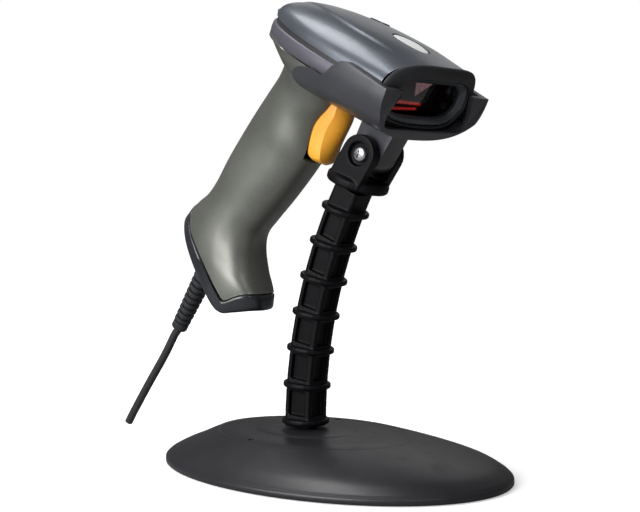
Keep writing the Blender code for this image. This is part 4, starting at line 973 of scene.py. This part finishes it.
# ---------------------------------------------------------------- small pieces
def build_trigger():
    """Blade with a crowned finger face between flat sides, and its switch post."""
    # height, front on the centreline, front at the sides, heel, half width
    levels = [(15.3, 20.6, 24.0, 39.2, 8.0), (9.0, 19.4, 23.8, 39.2, 8.0), (4.5, 19.4, 24.8, 38.2, 8.0),
              (0.0, 20.0, 25.4, 36.4, 8.0), (-6.0, 20.9, 25.0, 34.4, 8.0), (-10.0, 21.4, 24.2, 33.2, 7.95),
              (-13.0, 21.8, 23.6, 32.4, 7.7), (-14.8, 22.3, 23.5, 31.2, 7.0), (-16.0, 23.0, 23.8, 29.4, 5.4),
              (-16.7, 24.0, 24.3, 27.4, 3.0), (-16.9, 24.9, 25.0, 25.6, 0.6)]
    rows = []
    for z, front, shoulder, heel, width in curve_through(levels, 6):
        upturn = 0.9 * smoothstep(-9.0, -15.0, z)
        ring = [(width * t, front + (shoulder - front) * t * t, z + upturn * t * t)
                for t in (-1.0 + k / 12 for k in range(25))]
        soft = min(1.4, 0.3 * (heel - shoulder))
        corner = [(width, heel - soft, z), (width - 0.35 * soft, heel - 0.35 * soft, z),
                  (width - soft, heel, z)]
        rows.append(ring + corner + [(-x, y, z) for x, y, z in corner[::-1]])
    blade = skin("trigger_blade", rows, HEAD)
    bevel(blade, 0.5, 3, 26.0)
    apply_modifiers(blade)
    smooth_shading(blade, 50.0)
    reach = TRIGGER_HIGH.y - POST_START.y
    profile = [(POST_RADIUS, 0.0), (POST_RADIUS, reach - 0.4), (POST_RADIUS - 0.3, reach)]
    post = lathe("post", profile, POST_START, (0, 1, 0), HEAD, 32)
    smooth_shading(post, 40.0)
    join(blade, post)
    finish_piece(blade, "trigger_amber", "trigger", "trigger")


def build_relief():
    """Rubber sleeve with flat ribs that shrink towards the cable's end."""
    reach = (RELIEF_END - RELIEF_START).length
    ribs, thick = 11, 2.0
    pitch = (reach - 12.0) / ribs
    profile = [(2.5, 0.0), (5.2, 0.0), (5.4, 0.3), (5.4, 6.7), (5.2, 7.0)]
    for k in range(ribs):
        radius, s = RELIEF_RADIUS - 1.2 * k / ribs, 7.4 + (k + 0.34) * pitch
        core = max(radius - 1.7, CABLE_RADIUS + 0.8)
        profile += [(core, s), (radius - 0.25, s), (radius, s + 0.25), (radius, s + thick - 0.25),
                    (radius - 0.25, s + thick), (core, s + thick)]
    profile += [(3.1, reach - 4.2), (4.2, reach - 4.2), (4.4, reach - 4.0), (4.4, reach - 0.6),
                (4.1, reach - 0.1), (3.6, reach), (2.5, reach)]
    relief = lathe("relief_sleeve", profile, RELIEF_START, RELIEF_END - RELIEF_START, HEAD, 72)
    smooth_shading(relief, 35.0)
    finish_piece(relief, "black_rubber", "scanner", "strain_relief")


def build_cable():
    """Cable from the plug through the sleeve, then a slack curve towards the table."""
    low, high = box_in("cable_plug", HEAD)
    to_head = HEAD.inverted() @ WORLD
    slack = [(0, 108.6, 59.3), (0, 116.4, 47.3), (0, 128.2, 31.3), (0, 139.6, 15.3), (0, 145.0, 7.3)]
    seat = Vector((0.0, (low.y + high.y) / 2, low.z + 3.0))
    points = [seat, RELIEF_START, RELIEF_START.lerp(RELIEF_END, 0.5), RELIEF_END]
    points += [to_head @ Vector(p) for p in slack]
    path = [Vector(p) for p in curve_through(points, 14)]
    rows = []
    for k, spot in enumerate(path):
        along = (path[min(k + 1, len(path) - 1)] - path[max(k - 1, 0)]).normalized()
        across = Vector((1.0, 0.0, 0.0))
        other = along.cross(across)
        rows.append([spot + CABLE_RADIUS * (across * cos(a) + other * sin(a)) for a in angles(28)])
    cable = skin("cable_lead", rows, HEAD)
    smooth_shading(cable, 50.0)
    finish_piece(cable, "black_rubber", "scanner", "cable")


def keep_frame_nodes():
    """Fine materials, soft edges and smooth shading for the CAD nodes that stay in view."""
    slots = {row["node"]: row["material_slot"] for row in frame["record"]["subparts"]}
    for name, node in NODES.items():
        if node.hide_render:
            continue
        node.data.materials.clear()
        node.data.materials.append(LOOKS[slots[name]])
        weld(node)
        bevel(node, 0.15, 2, 50.0)
        smooth_shading(node, 32.0)


# ---------------------------------------------------------------- stage
AMBIENT = 0.12                           # the surroundings' light; the camera sees them white
LIGHT_TARGET = Vector((0.0, 0.0, 0.14))
LIGHTS = {                               # place, size, watts
    "key": ((-1.02, 0.15, 0.44), (0.9, 0.7), 13.0),
    "top": ((-0.10, 0.25, 1.10), (0.7, 0.5), 7.0),
    "front": ((-0.55, -0.85, 0.75), (0.25, 0.5), 1.2),
    "low": ((-0.85, -0.10, 0.24), (0.5, 0.16), 1.3),
    "side": ((0.85, 0.42, 0.62), (0.6, 0.5), 0.5),
}
FLOOR_HALF = 3000.0

# The camera that the photograph fits: turned from the front to the object's left, just above the table.
CAMERA_AZIMUTH, CAMERA_ELEVATION = -52.151, 3.105
CAMERA_DISTANCE = 0.645563
CAMERA_TARGET = Vector((0.0, 0.008162, 0.105627))
SENSOR_WIDTH, FOCAL_LENGTH = 36.0, 73.125


def looking_along(direction):
    return direction.to_track_quat("-Z", "Y").to_euler()


def area_light(name, spot, size, power):
    light = bpy.data.lights.new(name, "AREA")
    light.shape, light.size, light.size_y = "RECTANGLE", size[0], size[1]
    light.energy = power
    lamp = new_object(name, light)
    lamp.location = spot
    lamp.rotation_euler = looking_along(LIGHT_TARGET - Vector(spot))


def floor_look():
    """Pale floor: bright to the camera, with a soft shadow, and a weak bounce."""
    s = Shader("floor_white")
    seen = s.node("ShaderNodeLightPath").outputs["Is Camera Ray"]
    away = s.vector_math("LENGTH", s.place).outputs["Value"]
    s.set(Base_Color=s.blend(seen, rgb(0.30, 0.30, 0.30), rgb(0.90, 0.90, 0.90)),
          Roughness=s.remap(s.noise(3.0), 0.3, 0.7, 0.55, 0.62), Specular_IOR_Level=0.0,
          Emission_Color=rgb(1.0, 1.0, 1.0),
          Emission_Strength=s.math("MULTIPLY", seen, s.remap(away, 0.25, 0.9, 0.45, 1.0)))
    return s.material


def build_stage():
    floor = skin("floor", [[(-FLOOR_HALF, y, 0), (FLOOR_HALF, y, 0)] for y in (-FLOOR_HALF, FLOOR_HALF)],
                 WORLD, closed=False)
    floor.data.materials.append(floor_look())
    world = bpy.data.worlds.new("studio")
    bpy.context.scene.world = world
    world.use_nodes = True
    tree = world.node_tree
    seen = tree.nodes.new("ShaderNodeLightPath").outputs["Is Camera Ray"]
    level = tree.nodes.new("ShaderNodeMapRange")
    level.inputs["To Min"].default_value, level.inputs["To Max"].default_value = AMBIENT, 1.0
    tree.links.new(seen, level.inputs["Value"])
    sky = tree.nodes["Background"]
    sky.inputs["Color"].default_value = rgb(1.0, 1.0, 1.0)
    tree.links.new(level.outputs["Result"], sky.inputs["Strength"])
    for name, light in LIGHTS.items():
        area_light(name, *light)


def build_camera():
    camera = new_object("camera", bpy.data.cameras.new("camera"))
    turn, rise = radians(CAMERA_AZIMUTH), radians(CAMERA_ELEVATION)
    away = Vector((sin(turn) * cos(rise), -cos(turn) * cos(rise), sin(rise)))
    camera.location = CAMERA_TARGET + away * CAMERA_DISTANCE
    camera.rotation_euler = looking_along(-away)
    camera.data.sensor_width, camera.data.lens = SENSOR_WIDTH, FOCAL_LENGTH
    camera.data.clip_start = 0.01
    bpy.context.scene.camera = camera
    bpy.context.scene.view_settings.view_transform = "Standard"


build_base()
build_neck()
build_cradle()
build_cover()
build_inlays()
build_band()
build_body()
build_cap()
build_nose()
build_trigger()
build_relief()
build_cable()
build_tilt_screw()
keep_frame_nodes()
build_stage()
build_camera()
